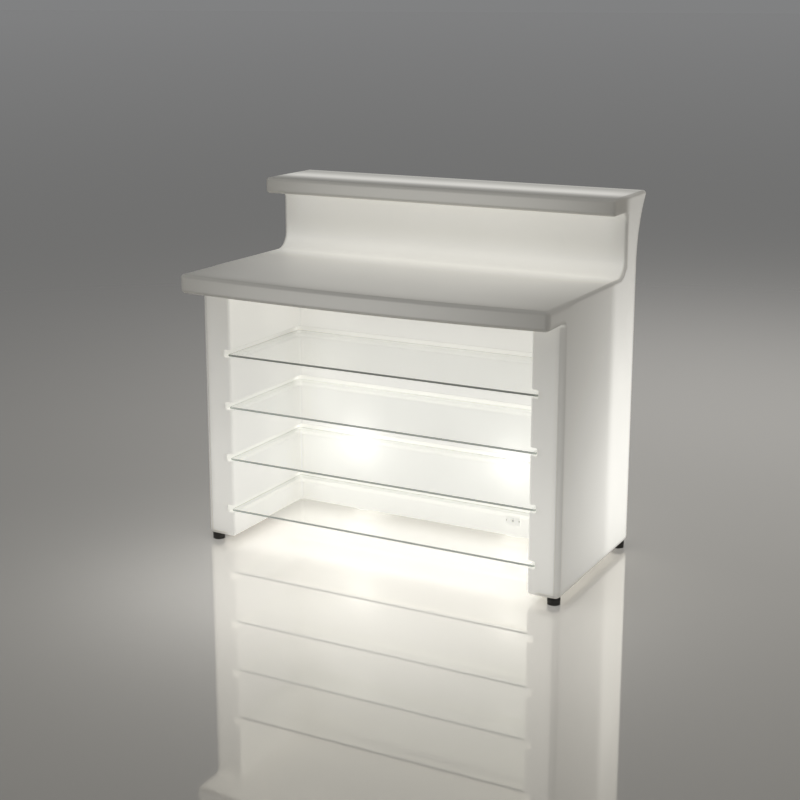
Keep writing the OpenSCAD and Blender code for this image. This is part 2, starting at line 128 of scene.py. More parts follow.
class ShellSizes(bpy.types.PropertyGroup):
    """Sizes of the moulding that its box doesn't give."""

    skin: length("Skin", "Thickness of the moulded skin", 5)
    bow: length("Bow", "How far the middle of the worktop's edge bows out past its corners", 31)
    overhang: length("Overhang", "How far the worktop's corners reach past the side walls", 111)
    worktop_lip: length("Worktop lip", "Height of the worktop's front lip", 57)
    side_wall: length("Side wall", "Thickness of each hollow side wall", 96)
    rear_wall: length("Rear wall", "Thickness of the hollow rear wall below the worktop", 159)
    upper_wall: length("Upper wall", "Thickness of the rear wall above the worktop", 89)
    ledge_lip: length("Ledge lip", "Height of the ledge's lip", 50)
    ledge_overhang: length("Ledge overhang", "How far the ledge reaches out over the worktop", 108)
    flare: length("Flare", "How far the rear wall flares out under the ledge's rear edge", 65)
    flare_angle: degrees("Flare angle", "Slope of the flare at its top, from the upright", 36)
    lip_radius: length("Lip radius", "Radius of the lips' long edges", 10)
    end_radius: length("End radius", "Radius of the edges at the counter's two ends", 9)
    corner_radius: length("Corner radius", "Radius of the worktop's front corners, from above", 13)
    wall_radius: length("Wall radius", "Radius of the side walls' outer front edges", 16)
    inner_radius: length("Inner radius", "Radius of the side walls' inner front edges", 9)
    bottom_radius: length("Bottom radius", "Radius of the bottom edges", 12)
    worktop_fillet: length("Worktop fillet", "Radius between the worktop and the riser", 52)
    ledge_fillet: length("Ledge fillet", "Radius between the riser and the ledge", 26)
    ceiling_fillet: length("Ceiling fillet", "Radius between the rear wall and the worktop's underside", 22)
    corner_fillet: length("Corner fillet", "Radius in the shelf bay's upright and upper corners", 7)
    groove_depth: length("Groove depth", "Depth of the grooves that carry the glass", 22)
    groove_height: length("Groove height", "Height of the grooves", 22)
    groove_radius: length("Groove radius", "Radius inside the grooves", 4.5)
    groove_mouth: length("Groove mouth", "Radius of the grooves' edges", 3.5)
    boss_wall: length("Boss wall", "Thickness of the moulded boss round a threaded insert", 10)
    screw_room: length("Screw room", "Room above the levelling screws, inside their bosses", 12)
    access: length("Access hole", "Diameter of the hole under each lamp", 96)
    screw_hole: length("Screw hole", "Diameter of the holes for the covers' screws", 4.2)
    outlet_hole: length("Outlet hole", "Diameter of the holes for the outlet's screws", 3.2)
    outlet_gap: length("Outlet gap", "Distance from the outlet's screws to the plate's ends", 3.5)


class GlowSizes(bpy.types.PropertyGroup):
    """How the two lamps light the moulding from inside."""

    tint: colour("Tint", "Colour of the light that comes through the skin", "#FFFEF8")
    lamp: factor("Lamp", "Light that one lamp gives the skin of the rear wall, next to it", 0.85)
    reach: length("Reach", "Distance over which the light in the rear wall falls to 37 %", 400)
    spot: factor("Spot", "Straight light where a lamp is nearest to the skin", 0.5)
    bay_dip: factor("Bay dip", "How much less light comes through the wall behind the shelves", 0.21)
    groove_dip: factor("Groove dip", "How much less light comes through inside the grooves", 0.16)
    corner_dip: factor("Corner dip", "How much less light reaches the bay's rear corners", 0.2)
    base_dip: factor("Base dip", "How much less light comes out of the counter's underside", 0.5)
    end_gain: factor("End gain", "How much brighter the rear wall's two ends are, which face the lamps", 0.05)
    riser_dip: factor("Riser dip", "How much less light comes through the riser's foot", 0.12)
    riser_gain: factor("Riser gain", "How much more the ledge throws back to the riser's upper part", 0.4)
    seam_gain: factor("Seam gain", "How much more comes through just above the worktop's fillet", 0.2)
    ridge: factor("Ridge", "Straight light on the ledge's top, above the hollow rear wall", 0.24)
    tip: factor("Tip", "Light at the flare's thin tip", 0.15)
    side_level: factor("Side level", "Light on the side walls' outer faces, next to the rear wall", 0.58)
    side_reach: length("Side reach", "Distance over which the light in the side walls falls to 37 %", 460)
    side_height: length("Side height", "Height over which the light in the side walls falls to half", 482)
    inner_level: factor("Inner level", "Light on the side walls' inner faces", 0.56)
    front_level: factor("Front level", "Light on the side walls' front faces", 0.4)
    worktop_level: factor("Worktop level", "Light in the worktop, next to the rear wall", 0.25)
    worktop_reach: length("Worktop reach", "Distance over which the light in the worktop falls to 37 %", 900)
    end_drop: factor("End drop", "How much less light reaches the worktop's two ends", 0.5)
    lip_level: factor("Lip level", "Light in the middle of the worktop's lip, thrown back by the bay", 0.175)
    ledge_level: factor("Ledge level", "Light in the middle of the ledge's lip", 0.15)
    edge_shade: factor("Edge shade", "How much less light comes through the lips' thicker edges", 0.8)
    end_shade: factor("End shade", "How much less comes through the thicker edges at the two ends", 0.65)
    rim_shade: factor("Rim shade", "How much less light comes through next to the rear edges", 0.3)
    brim_shade: factor("Brim shade", "How much less light the worktop gets next to its lip", 0.5)
    foot_shade: factor("Foot shade", "How much less light comes through at the very bottom", 0.2)
    knee: factor("Knee", "Level past which more light whitens the skin less", 0.52)
    knee_span: factor("Knee span", "How far past the knee the level can rise", 0.19)
    peak: factor("Peak", "The brightest level, which the skin's attribute holds as 1", 1.5)


class GlassSizes(bpy.types.PropertyGroup):
    """Sizes and colours of the glass shelves."""

    corner: length("Corner", "Radius of the front corners, from above", 6)
    back_corner: length("Back corner", "Radius of the corners inside the rear groove", 2)
    arris: length("Arris", "Width of the ground arrises", 0.8)
    seat: length("Seat", "Air under the pane, which lies on the uneven floor of its groove", 0.1)
    edge: colour("Edge", "Colour that the ground edges show", "#C6CBC5")
    edge_glow: colour("Edge glow", "Colour of the light that leaves the panes at their edges", "#E4EBE2")
    edge_level: factor("Edge level", "Light at the lower panes' edges, which are nearest to the lamps", 0.2)


class FootSizes(bpy.types.PropertyGroup):
    """Sizes of the levelling feet."""

    pitch: length("Pitch", "Pitch of the screw's thread", 1.5)
    thread_depth: length("Thread depth", "Depth of the screw's thread", 0.92)
    screw: length("Screw", "Diameter of the screw", 10)
    head: length("Head", "Height of the screw's head, inside the pad", 5)
    waist: length("Waist", "Depth of the shallow ring that runs round the pad", 0.7)


class StageSizes(bpy.types.PropertyGroup):
    """Camera, floor and lights."""

    camera_x: length("Camera x", "Place of the camera across the counter", 2059)
    camera_y: length("Camera y", "Place of the camera along the depth", -3916, least=-100)
    camera_z: length("Camera z", "Height of the camera", 1653)
    yaw: degrees("Yaw", "Turn of the camera to the left", 28.18)
    pitch: degrees("Pitch", "Tilt of the camera below the horizon", 13.17)
    lens: factor("Lens", "Focal length, for a sensor 36 mm wide", 67.86)
    shift: FloatProperty(name="Shift", description="Upright shift of the lens", default=-0.06)
    floor: colour("Floor", "Colour of the floor", "#D6D3CD")
    floor_shine: factor("Floor shine", "How much of the floor's light is mirrored by its polish", 0.48)
    horizon: factor("Horizon", "Light from the studio's walls", 0.24)
    ceiling: factor("Ceiling", "Light from the studio's ceiling", 0.14)
    key: watts("Key", "Power of the large soft light", 24)
    fill: watts("Fill", "Power of the light on the other side", 20)
    pool: watts("Pool", "Power of the light on the floor behind the counter", 98)
    bay: watts("Bay", "Power of the light on the floor below the shelves", 2.5)
    front: watts("Front", "Power of the light on the floor before the shelves", 5)


# ---------------------------------------------------------------------------------------------- meshes


def put_mesh(name, places, faces, materials, face_material=None, sharp_angle=math.radians(40)):
    """Makes a smooth-shaded mesh object, at the origin, from arrays of places and of faces."""
    mesh = bpy.data.meshes.new(name)
    mesh.from_pydata(np.asarray(places).tolist(), [], [list(face) for face in faces])
    for material in materials:
        mesh.materials.append(material)
    if face_material is not None:
        mesh.polygons.foreach_set("material_index", np.asarray(face_material, np.int32))
    mesh.shade_smooth()
    mesh.set_sharp_from_angle(angle=sharp_angle)
    mesh.update()
    piece = bpy.data.objects.new(name, mesh)
    bpy.context.scene.collection.objects.link(piece)
    return piece


def grid_faces(rings, points, close_rings=False):
    """Corner numbers of the quads between closed rings of points, ring by ring. close_rings joins the last
    ring to the first."""
    ring = np.arange(rings if close_rings else rings - 1)[:, None]
    point = np.arange(points)[None, :]
    next_ring, next_point = (ring + 1) % rings, (point + 1) % points
    corners = (ring * points + point, ring * points + next_point,
               next_ring * points + next_point, next_ring * points + point)
    return np.stack(np.broadcast_arrays(*corners), -1).reshape(-1, 4).tolist()


def capped_faces(rings, points):
    """The quads between the rings of a tube, and a flat face on its first and on its last ring."""
    last = (rings - 1) * points
    return grid_faces(rings, points) + [list(range(points))[::-1], list(range(last, last + points))]


def rounded_outline(corners, steps=8):
    """Closed outline with each corner (x, y, radius) replaced by an arc that touches both of its sides: the
    arc's centre lies on the corner's bisector, radius / sin(half the corner's angle) away from the
    corner."""
    corner, radius = np.asarray(corners, float)[:, :2], np.asarray(corners, float)[:, 2:]
    back, on = np.roll(corner, 1, 0) - corner, np.roll(corner, -1, 0) - corner
    back /= np.linalg.norm(back, axis=1, keepdims=True)
    on /= np.linalg.norm(on, axis=1, keepdims=True)
    half = np.arccos(np.clip((back * on).sum(1, keepdims=True), -1, 1)) / 2
    middle = back + on
    centre = corner + middle / np.linalg.norm(middle, axis=1, keepdims=True) * radius / np.sin(half)
    start = back * radius / np.tan(half) + corner - centre
    stop = on * radius / np.tan(half) + corner - centre
    first, last = np.arctan2(start[:, 1:], start[:, :1]), np.arctan2(stop[:, 1:], stop[:, :1])
    sweep = (last - first + math.pi) % (2 * math.pi) - math.pi
    angle = first + sweep * np.linspace(0, 1, steps + 1)
    arcs = centre[:, None] + radius[:, None] * np.stack([np.cos(angle), np.sin(angle)], -1)
    return arcs.reshape(-1, 2)


def ring_places(radius, height, centre, segments):
    """Places on rings round an upright axis: each radius, times the cosine and the sine of the angle round
    the axis, with its height. There is one radius and one height for each ring, or for each place on it."""
    angle = np.linspace(0, 2 * math.pi, segments, endpoint=False)
    rings = np.stack(np.broadcast_arrays(radius * np.cos(angle), radius * np.sin(angle), height), -1)
    return (rings + np.asarray(centre)).reshape(-1, 3)


def turned(profile, centre, segments=64):
    """A profile of (radius, height) points turned round an upright axis, one ring for each point."""
    radius, height = np.asarray(profile, float).T[:, :, None]
    return ring_places(radius, height, centre, segments)


# ---------------------------------------------------------------------------------------------- distances


def round_edge(a, b, radius, cosine=0.0):
    """Signed distance to the solid that lies inside two surfaces, with the edge where they meet rounded. a
    and b are the distances to the two surfaces, and cosine belongs to the angle between their normals.
    Between the two lines where the rounding touches them, the distance is the one to the rounding's centre
    less its radius."""
    u, v = a + radius, b + radius
    arc = np.sqrt(np.maximum(u * u + v * v - 2 * u * v * cosine, 0) / (1 - cosine * cosine)) - radius
    return np.where((u > v * cosine) & (v > u * cosine), arc, np.maximum(a, b))


def fillet(a, b, radius):
    """Signed distance to two solids joined into one, with a fillet in the corner between them."""
    return -round_edge(-a, -b, radius)


def ease(low, high, value):
    """Runs smoothly from 0 at low to 1 at high."""
    share = np.clip((value - low) / (high - low), 0, 1)
    return share * share * (3 - 2 * share)


class Shell:
    """The moulding as a signed distance, negative inside, in the counter's own frame. Its worktop edge is
    straight here, and bow() bends it."""

    def __init__(self, sizes):
        self.sizes = sizes
        self.half = SHELL_HIGH.x
        self.top, self.bottom, self.worktop = SHELL_HIGH.z, SHELL_LOW.z, WORKTOP_Z
        depth = round((SHELL_HIGH.y - SHELL_LOW.y) / MM) * MM
        self.corner_y = -depth / 2 + sizes.bow
        self.wall_y = self.corner_y + sizes.overhang
        self.rear_y = depth / 2 - sizes.flare
        self.bay_y = self.rear_y - sizes.rear_wall
        self.riser_y = self.rear_y - sizes.upper_wall
        self.ledge_y = self.riser_y - sizes.ledge_overhang
        self.bay_half = self.half - sizes.side_wall
        self.worktop_under = self.worktop - sizes.worktop_lip
        self.ledge_under = self.top - sizes.ledge_lip
        self.bow_radius = (self.half**2 + sizes.bow**2) / (2 * sizes.bow)
        angle = sizes.flare_angle
        tip_trim = sizes.lip_radius / math.tan((math.pi / 2 - angle) / 2)
        run = sizes.flare + tip_trim - sizes.lip_radius
        slope_length = run / math.sin(angle) - tip_trim
        self.flare_radius = slope_length / math.tan(angle / 2)
        self.flare_z = self.top - run / math.tan(angle) - slope_length
        self.tip_cosine = -math.sin(angle)
        self.groove_z = [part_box(f"glass_shelf_{k}")[0].z + sizes.groove_height / 2 for k in SHELVES]

    def spine(self, y, z):
        """Worktop slab, rear wall, riser and ledge slab, joined one after the other with fillets."""
        s = self.sizes
        worktop_z, ledge_z = self.worktop - s.worktop_lip / 2, self.top - s.ledge_lip / 2
        # The riser ends a little more than a fillet below the ledge's top, which the fillet would swell
        riser_top = self.top - 1.1 * s.ledge_fillet
        worktop = round_edge(self.corner_y - y, abs(z - worktop_z) - s.worktop_lip / 2, s.lip_radius)
        rear = np.maximum(self.bay_y - y, z - worktop_z)
        upper = np.maximum(self.riser_y - y, z - riser_top)
        ledge = round_edge(self.ledge_y - y, abs(z - ledge_z) - s.ledge_lip / 2, s.lip_radius)
        solid = fillet(worktop, rear, s.ceiling_fillet)
        solid = fillet(solid, upper, s.worktop_fillet)
        return fillet(solid, ledge, s.ledge_fillet)

    def rear_face(self, y, z):
        """Upright up to the flare, and then the inside of a large circle that leaves it tangentially."""
        to_arc = self.flare_radius - np.hypot(y - self.rear_y - self.flare_radius, z - self.flare_z)
        return np.where(z < self.flare_z, y - self.rear_y, to_arc)

    def end_radius(self, y, z):
        """Radius at the two ends: larger at the side walls' front edges and at the worktop's corners."""
        s, blend = self.sizes, 8 * MM
        # From 91 mm to 21 mm behind the side walls' front faces
        at_front = ease(-150 * MM, -220 * MM, y)
        below = ease(self.worktop_under + blend, self.worktop_under - blend, z)
        front = s.corner_radius + (s.wall_radius - s.corner_radius) * below
        return s.end_radius + (front - s.end_radius) * at_front

    def groove(self, x, y, z, groove_z):
        """Bar along both side walls and the rear wall, reaching to the groove's full depth."""
        s, corner = self.sizes, 6 * MM
        plan = round_edge(abs(x) - self.bay_half - s.groove_depth, y - self.bay_y - s.groove_depth, corner)
        return round_edge(plan, abs(z - groove_z) - s.groove_height / 2, s.groove_radius)

    def distance(self, x, y, z):
        """The whole moulding, solid."""
        s = self.sizes
        wall = round_edge(self.bay_half - abs(x), self.wall_y - y, s.inner_radius)
        wall = np.maximum(wall, z - (self.worktop - s.worktop_lip / 2))
        body = fillet(self.spine(y, z), wall, s.corner_fillet)
        body = round_edge(body, self.rear_face(y, z), s.lip_radius, self.tip_cosine)
        body = round_edge(body, abs(x) - self.half, self.end_radius(y, z))
        body = round_edge(body, self.bottom - z, s.bottom_radius)
        for groove_z in self.groove_z:
            body = round_edge(body, -self.groove(x, y, z, groove_z), s.groove_mouth)
        return body

    def hollow(self, x, y, z):
        """The space inside the skin."""
        return self.distance(x, y, z) + self.sizes.skin

    def bow(self, x, y):
        """How far a place moves forwards: the rise of the large circle through the worktop's corners, in
        full at the lip and fading out towards the side walls' front faces."""
        radius, lip_zone = self.bow_radius, 30 * MM
        rise = np.sqrt(radius**2 - x**2) - math.sqrt(radius**2 - self.half**2)
        return rise * ease(self.wall_y, self.corner_y + lip_zone, y)

    def unbow(self, x, y):
        """The straight place y that bow() moves to the given one, found by repeated substitution."""
        straight = y
        for _ in range(12):
            straight = y + self.bow(x, straight)
        return straight

    def rounding(self, x, y, z, step=2.5 * MM):
        """1 on an edge rounded by the lip radius or less and 0 on flats and fillets: the lip radius times
        the sum of the distance's second differences, which is 1 / radius on a rounded edge."""
        bend = -6 * self.distance(x, y, z)
        for side in (step, -step):
            bend += (
                self.distance(x + side, y, z) + self.distance(x, y + side, z) + self.distance(x, y, z + side)
            )
        return np.clip(bend / step**2 * self.sizes.lip_radius, 0, 1)


def gradient(field, x, y, z, step=2e-5):
    """Slope of a field along the three axes, by central differences."""
    return np.stack([
        field(x + step, y, z) - field(x - step, y, z),
        field(x, y + step, z) - field(x, y - step, z),
        field(x, y, z + step) - field(x, y, z - step),
    ], -1) / (2 * step)


def lines(start, *stretches):
    """Grid lines in millimetres: from start, each stretch (end, step) is divided evenly into steps of about
    that size."""
    places = [np.array([start])]
    for end, step in stretches:
        first = places[-1][-1]
        places.append(np.linspace(first, end, max(1, math.ceil(abs(end - first) / step)) + 1)[1:])
    return np.concatenate(places)


def shell_lines(shell, fine):
    """Grid lines along x, y and z, close together at the moulding's edges, fillets and grooves, and wide
    apart on its flats. fine is the step at the tightest edges, in millimetres."""
    s, mm = shell.sizes, 1 / MM
    flat, past, groove_room, spot = 10 * fine, 3, 5, 110
    bay, half = shell.bay_half * mm, shell.half * mm
    depth, height, flare = s.groove_depth * mm, s.groove_height * mm, s.flare * mm
    lamp_x = (GLOBE_LOW.x + GLOBE_HIGH.x) / 2 * mm
    # A stretch is (its end, its step), and the odd millimetres in its end are the room that a rounding takes
    right = lines(
        0, (lamp_x - spot, 1.3 * flat), (lamp_x + spot, 0.75 * flat), (bay - 12, flat),
        (bay + depth + 4, fine), (half - 18, 1.6 * flat), (half + past, fine),
    )
    across = np.concatenate([-right[:0:-1], right])
    front, wall, back, riser, ledge, rear = (
        place * mm for place in
        (shell.corner_y, shell.wall_y, shell.bay_y, shell.riser_y, shell.ledge_y, shell.rear_y)
    )
    along = lines(
        front - past, (front + 16, fine), (wall - 5, flat), (wall + 18, fine), (ledge - 3, flat),
        (back - s.ceiling_fillet * mm, fine), (back + depth + 4, fine), (riser + 3, 1.8 * fine),
        (rear - 16, 0.8 * flat), (rear + 3, fine), (rear + flare - 14, 2.4 * fine),
        (rear + flare + past, fine),
    )
    grooves = []
    for groove_z in shell.groove_z:
        grooves.append((groove_z * mm - height / 2 - groove_room, 0.75 * flat))
        grooves.append((groove_z * mm + height / 2 + groove_room, fine))
    bottom, under, worktop, ledge_under, top = (
        place * mm for place in
        (shell.bottom, shell.worktop_under, shell.worktop, shell.ledge_under, shell.top)
    )
    up = lines(
        bottom - past, (bottom + 14, fine), *grooves, (under - s.ceiling_fillet * mm, flat),
        (under + 13, fine), (worktop - 13, 4 * fine), (worktop + 2, fine),
        (worktop + s.worktop_fillet * mm, 1.8 * fine), (ledge_under - s.ledge_fillet * mm, 0.6 * flat),
        (ledge_under + 13, 1.2 * fine), (top - 13, 3 * fine), (top + past, fine),
    )
    return across * MM, along * MM, up * MM


def surface_net(field, grid):
    """Closed surface where a field is zero. Each grid cell that the surface passes through gets one point:
    the mean of where the surface crosses the cell's edges, then moved along the field's slope onto the
    surface. Each grid edge that crosses the surface gives a quad between the points of the four cells round
    it."""
    value = field(grid[0][:, None, None], grid[1][None, :, None], grid[2][None, None, :])
    cells = tuple(n - 1 for n in value.shape)
    total, count = np.zeros(cells + (3,)), np.zeros(cells)
    crossed = []
    for axis in range(3):
        low = np.take(value, range(cells[axis]), axis)
        high = np.take(value, range(1, cells[axis] + 1), axis)
        cross = (low < 0) != (high < 0)
        share = np.where(cross, low / np.where(cross, low - high, 1), 0)
        crossed.append((cross, low < 0))
        other = [i for i in range(3) if i != axis]
        for shift_a in (0, 1):
            for shift_b in (0, 1):
                window = [slice(None)] * 3
                window[other[0]] = slice(shift_a, shift_a + cells[other[0]])
                window[other[1]] = slice(shift_b, shift_b + cells[other[1]])
                here, part = cross[tuple(window)], share[tuple(window)]
                count += here
                for i in range(3):
                    shape = [1, 1, 1]
                    shape[i] = cells[i]
                    first, step = grid[i][:-1].reshape(shape), np.diff(grid[i]).reshape(shape)
                    shift = part if i == axis else (shift_a if i == other[0] else shift_b)
                    total[..., i] += here * (first + shift * step)
    active = count > 0
    number = np.full(cells, -1)
    number[active] = np.arange(active.sum())
    points = total[active] / count[active][:, None]
    # Where the slope is weak, as in a tight corner, a full step along it would throw a point away
    weakest = 0.25
    for _ in range(3):
        x, y, z = points.T
        slope = gradient(field, x, y, z)
        square = np.maximum((slope**2).sum(1), weakest)
        points = points - (field(x, y, z) / square)[:, None] * slope
    quads = []
    for axis, (cross, inside_low) in enumerate(crossed):
        b, c = (axis + 1) % 3, (axis + 2) % 3
        places = np.argwhere(cross)
        within = (places[:, b] > 0) & (places[:, c] > 0)
        within &= (places[:, b] < cells[b]) & (places[:, c] < cells[c])
        places = places[within]
        corners = []
        for step_b, step_c in ((1, 1), (0, 1), (0, 0), (1, 0)):
            cell = places.copy()
            cell[:, b] -= step_b
            cell[:, c] -= step_c
            corners.append(number[tuple(cell.T)])
        quad = np.stack(corners, 1)
        outward = inside_low[tuple(places.T)]
        quads.append(np.where(outward[:, None], quad, quad[:, ::-1]))
    return points, np.concatenate(quads)


# ---------------------------------------------------------------------------------------------- materials


# What a metal sets besides its colour and its roughness
METAL = {"metallic": 1.0}


def add_node(tree, kind, settings=None, inputs=None):
    """Adds a node with its settings, and gives each named input a value or a link."""
    node = tree.nodes.new(kind)
    for name, value in (settings or {}).items():
        setattr(node, name, value)
    for name, value in (inputs or {}).items():
        if isinstance(value, bpy.types.NodeSocket):
            tree.links.new(value, node.inputs[name])
        else:
            node.inputs[name].default_value = value
    return node


def new_material(name, base, roughness, metallic=0.0, ior=1.5, **sockets):
    """A material with one Principled shader, whose even values are set on its own sockets."""
    material = bpy.data.materials.new(name)
    material.use_nodes = True
    tree = material.node_tree
    tree.nodes.clear()
    shader = add_node(tree, "ShaderNodeBsdfPrincipled", None, {
        "Base Color": (*base, 1), "Roughness": roughness, "Metallic": metallic, "IOR": ior, **sockets
    })
    add_node(tree, "ShaderNodeOutputMaterial", None, {"Surface": shader.outputs["BSDF"]})
    return material, tree, shader


def mottle(tree, shader, base, grain, depth, shade=0.06, spread=0.05, stretch=(1, 1, 1)):
    """Fine unevenness of a real surface: colour, roughness and relief follow one noise. grain is the
    distance between its bumps and depth their height, both in metres."""
    place = add_node(tree, "ShaderNodeTexCoord")
    stretched = add_node(tree, "ShaderNodeMapping", None, {
        "Vector": place.outputs["Object"], "Scale": stretch
    })
    noise = add_node(tree, "ShaderNodeTexNoise", None, {
        "Vector": stretched.outputs["Vector"], "Scale": 1 / grain, "Detail": 3.0
    })
    darker = tuple(c * (1 - shade) for c in base)
    tone = add_node(tree, "ShaderNodeMix", {"data_type": "RGBA"}, {
        "Factor": noise.outputs["Fac"], "A": (*darker, 1), "B": (*base, 1)
    })
    tree.links.new(tone.outputs[2], shader.inputs["Base Color"])
    gloss = shader.inputs["Roughness"].default_value
    rough = add_node(tree, "ShaderNodeMapRange", None, {
        "Value": noise.outputs["Fac"], "To Min": gloss - spread, "To Max": gloss + spread
    })
    tree.links.new(rough.outputs["Result"], shader.inputs["Roughness"])
    relief = add_node(tree, "ShaderNodeBump", None, {
        "Height": noise.outputs["Fac"], "Distance": depth, "Strength": 1.0
    })
    tree.links.new(relief.outputs["Normal"], shader.inputs["Normal"])


def mottled(name, hex_colour, roughness, values, grain, depth, **unevenness):
    """A finely uneven material of one colour. values go to new_material(), and the rest to mottle()."""
    base = linear(hex_colour)
    material, tree, shader = new_material(name, base, roughness, **values)
    mottle(tree, shader, base, grain, depth, **unevenness)
    return material


def lit_through(hex_colour, strength):
    """The shader's values for light that comes through a material."""
    return {"Emission Color": (*linear(hex_colour), 1), "Emission Strength": strength}


def moulded_polyethylene():
    """Rotational-moulded translucent polyethylene: satin white, with the faint orange peel of the mould,
    and lit by the light that comes through its skin."""
    base = linear("#E4E2DC")
    material, tree, shader = new_material("moulded_polyethylene", base, 0.42, ior=1.51)
    # The orange peel is about 2 mm from bump to bump, drawn at 3 mm so that it shows
    mottle(tree, shader, base, 3 * MM, 0.03 * MM, shade=0.02)
    place = add_node(tree, "ShaderNodeTexCoord")
    cloud = add_node(tree, "ShaderNodeTexNoise", None, {
        "Vector": place.outputs["Object"], "Scale": 1 / (140 * MM), "Detail": 1.0
    })
    # The skin is a little thicker in some places than in others, so the light varies by a few hundredths
    thickness = add_node(tree, "ShaderNodeMapRange", None, {
        "Value": cloud.outputs["Fac"], "From Min": 0.3, "From Max": 0.7, "To Min": 0.98, "To Max": 1.02
    })
    glow = add_node(tree, "ShaderNodeAttribute", {"attribute_name": "glow"})
    light = add_node(tree, "ShaderNodeMath", {"operation": "MULTIPLY"})
    tree.links.new(glow.outputs["Fac"], light.inputs[0])
    tree.links.new(thickness.outputs["Result"], light.inputs[1])
    tint = tuple(bpy.context.scene.counter_glow.tint)
    shine = add_node(tree, "ShaderNodeMix", {"data_type": "RGBA", "clamp_factor": False}, {
        "Factor": light.outputs[0], "A": (0, 0, 0, 1), "B": (*tint, 1)
    })
    tree.links.new(shine.outputs[2], shader.inputs["Emission Color"])
    shader.inputs["Emission Strength"].default_value = bpy.context.scene.counter_glow.peak
    return material


def float_glass():
    """Clear float glass: smooth as it came off the tin, with a trace of grey-green from its iron."""
    base = linear("#FCFDFC")
    material, tree, shader = new_material("float_glass", base, 0.0, ior=1.52, **{"Transmission Weight": 1.0})
    place = add_node(tree, "ShaderNodeTexCoord")
    wave = add_node(tree, "ShaderNodeTexNoise", None, {
        "Vector": place.outputs["Object"], "Scale": 1 / (90 * MM), "Detail": 0.0
    })
    relief = add_node(tree, "ShaderNodeBump", None, {
        "Height": wave.outputs["Fac"], "Distance": 0.02 * MM, "Strength": 1.0
    })
    tree.links.new(relief.outputs["Normal"], shader.inputs["Normal"])
    return material


def ground_glass_edge():
    """The panes' edges, ground flat and polished: they show the depth of the glass as a dark grey-green
    line. Light that runs inside the panes makes the lower ones a little brighter."""
    sizes = bpy.context.scene.counter_glass
    base = tuple(sizes.edge)
    material, tree, shader = new_material("ground_glass_edge", base, 0.25, ior=1.52, **{
        "Transmission Weight": 0.25, "Emission Strength": sizes.edge_level
    })
    highest, lower = (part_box(f"glass_shelf_{number}")[0].z for number in (4, 3))
    place = add_node(tree, "ShaderNodeTexCoord")
    parts = add_node(tree, "ShaderNodeSeparateXYZ", None, {"Vector": place.outputs["Object"]})
    near = add_node(tree, "ShaderNodeMapRange", None, {
        "Value": parts.outputs["Z"], "From Min": highest, "From Max": lower, "To Min": 0.1, "To Max": 1.0
    })
    shine = add_node(tree, "ShaderNodeMix", {"data_type": "RGBA"}, {
        "Factor": near.outputs["Result"], "A": (0, 0, 0, 1), "B": (*tuple(sizes.edge_glow), 1)
    })
    tree.links.new(shine.outputs[2], shader.inputs["Emission Color"])
    # Grinding marks run along the edge, 0.4 mm apart
    mottle(tree, shader, base, 0.4 * MM, 0.004 * MM, shade=0.12, stretch=(0.1, 0.1, 1))
    return material


def moulded_black_nylon():
    """Injection-moulded black nylon: dull, with the fine grain of a spark-eroded mould."""
    return mottled("moulded_black_nylon", "#2E2C29", 0.48, {"ior": 1.53}, 0.5 * MM, 0.03 * MM, shade=0.3)


def zinc_plated_steel():
    """Bright zinc plating on steel: a cool grey, finely cloudy sheen."""
    return mottled("zinc_plated_steel", "#C4C7CB", 0.3, METAL, 1.2 * MM, 0.004 * MM, shade=0.15, spread=0.08)


def turned_steel():
    """Plain turned steel: darker than zinc, with turning marks 0.3 mm apart round its axis."""
    marks = {"shade": 0.12, "stretch": (0.05, 0.05, 1)}
    return mottled("turned_steel", "#A7A8A9", 0.36, METAL, 0.3 * MM, 0.01 * MM, **marks)


def moulded_cover():
    """White polypropylene cover: slightly waxy, finely grained so that scratches don't show, and lit
    through by the lamp above it."""
    values = {"ior": 1.49, **lit_through("#FFFEF8", 0.6)}
    return mottled("moulded_polypropylene_cover", "#DEDDD8", 0.5, values, 0.7 * MM, 0.03 * MM, shade=0.04)


def rubber_gasket():
    """Closed-cell rubber sheet: dark grey, dry and fully matt."""
    return mottled("cellular_rubber_gasket", "#4B4B4C", 0.85, {"ior": 1.52}, 0.6 * MM, 0.08 * MM, shade=0.25)


def heatproof_plastic():
    """White glass-filled polyester of the lampholders and housings: hard, with a slight gloss."""
    return mottled("heatproof_polyester", "#E8E6E0", 0.28, {"ior": 1.56}, 0.9 * MM, 0.01 * MM, shade=0.03)


def rolled_aluminium():
    """Aluminium sheet rolled into the lamp caps' thread: bright, with marks along the rolling."""
    marks = {"shade": 0.1, "stretch": (0.15, 0.15, 1)}
    return mottled("rolled_aluminium", "#D5D6D8", 0.26, METAL, 0.5 * MM, 0.006 * MM, **marks)


def opal_globe():
    """Opal polycarbonate of the lamps' globes: an even, warm white while lit."""
    values = {"ior": 1.58, **lit_through("#FFF3DA", 4.0)}
    return mottled("opal_polycarbonate", "#FBF6E9", 0.35, values, 1.0 * MM, 0.01 * MM, shade=0.02)


def outlet_plastic():
    """Light grey ABS of the outlet plate: satin, finely eroded, and thin enough for some of the glow to
    pass."""
    values = {"ior": 1.53, **lit_through("#FFFDF6", 0.5)}
    return mottled("moulded_grey_abs", "#E3E4E1", 0.45, values, 0.5 * MM, 0.02 * MM, shade=0.06)


def bushing_rubber():
    """Light grey thermoplastic rubber of the cable bushing: soft, matt and a little translucent."""
    values = {"ior": 1.5, **lit_through("#FFFDF6", 0.5)}
    return mottled("thermoplastic_rubber", "#BFC1BE", 0.7, values, 0.6 * MM, 0.03 * MM, shade=0.1)


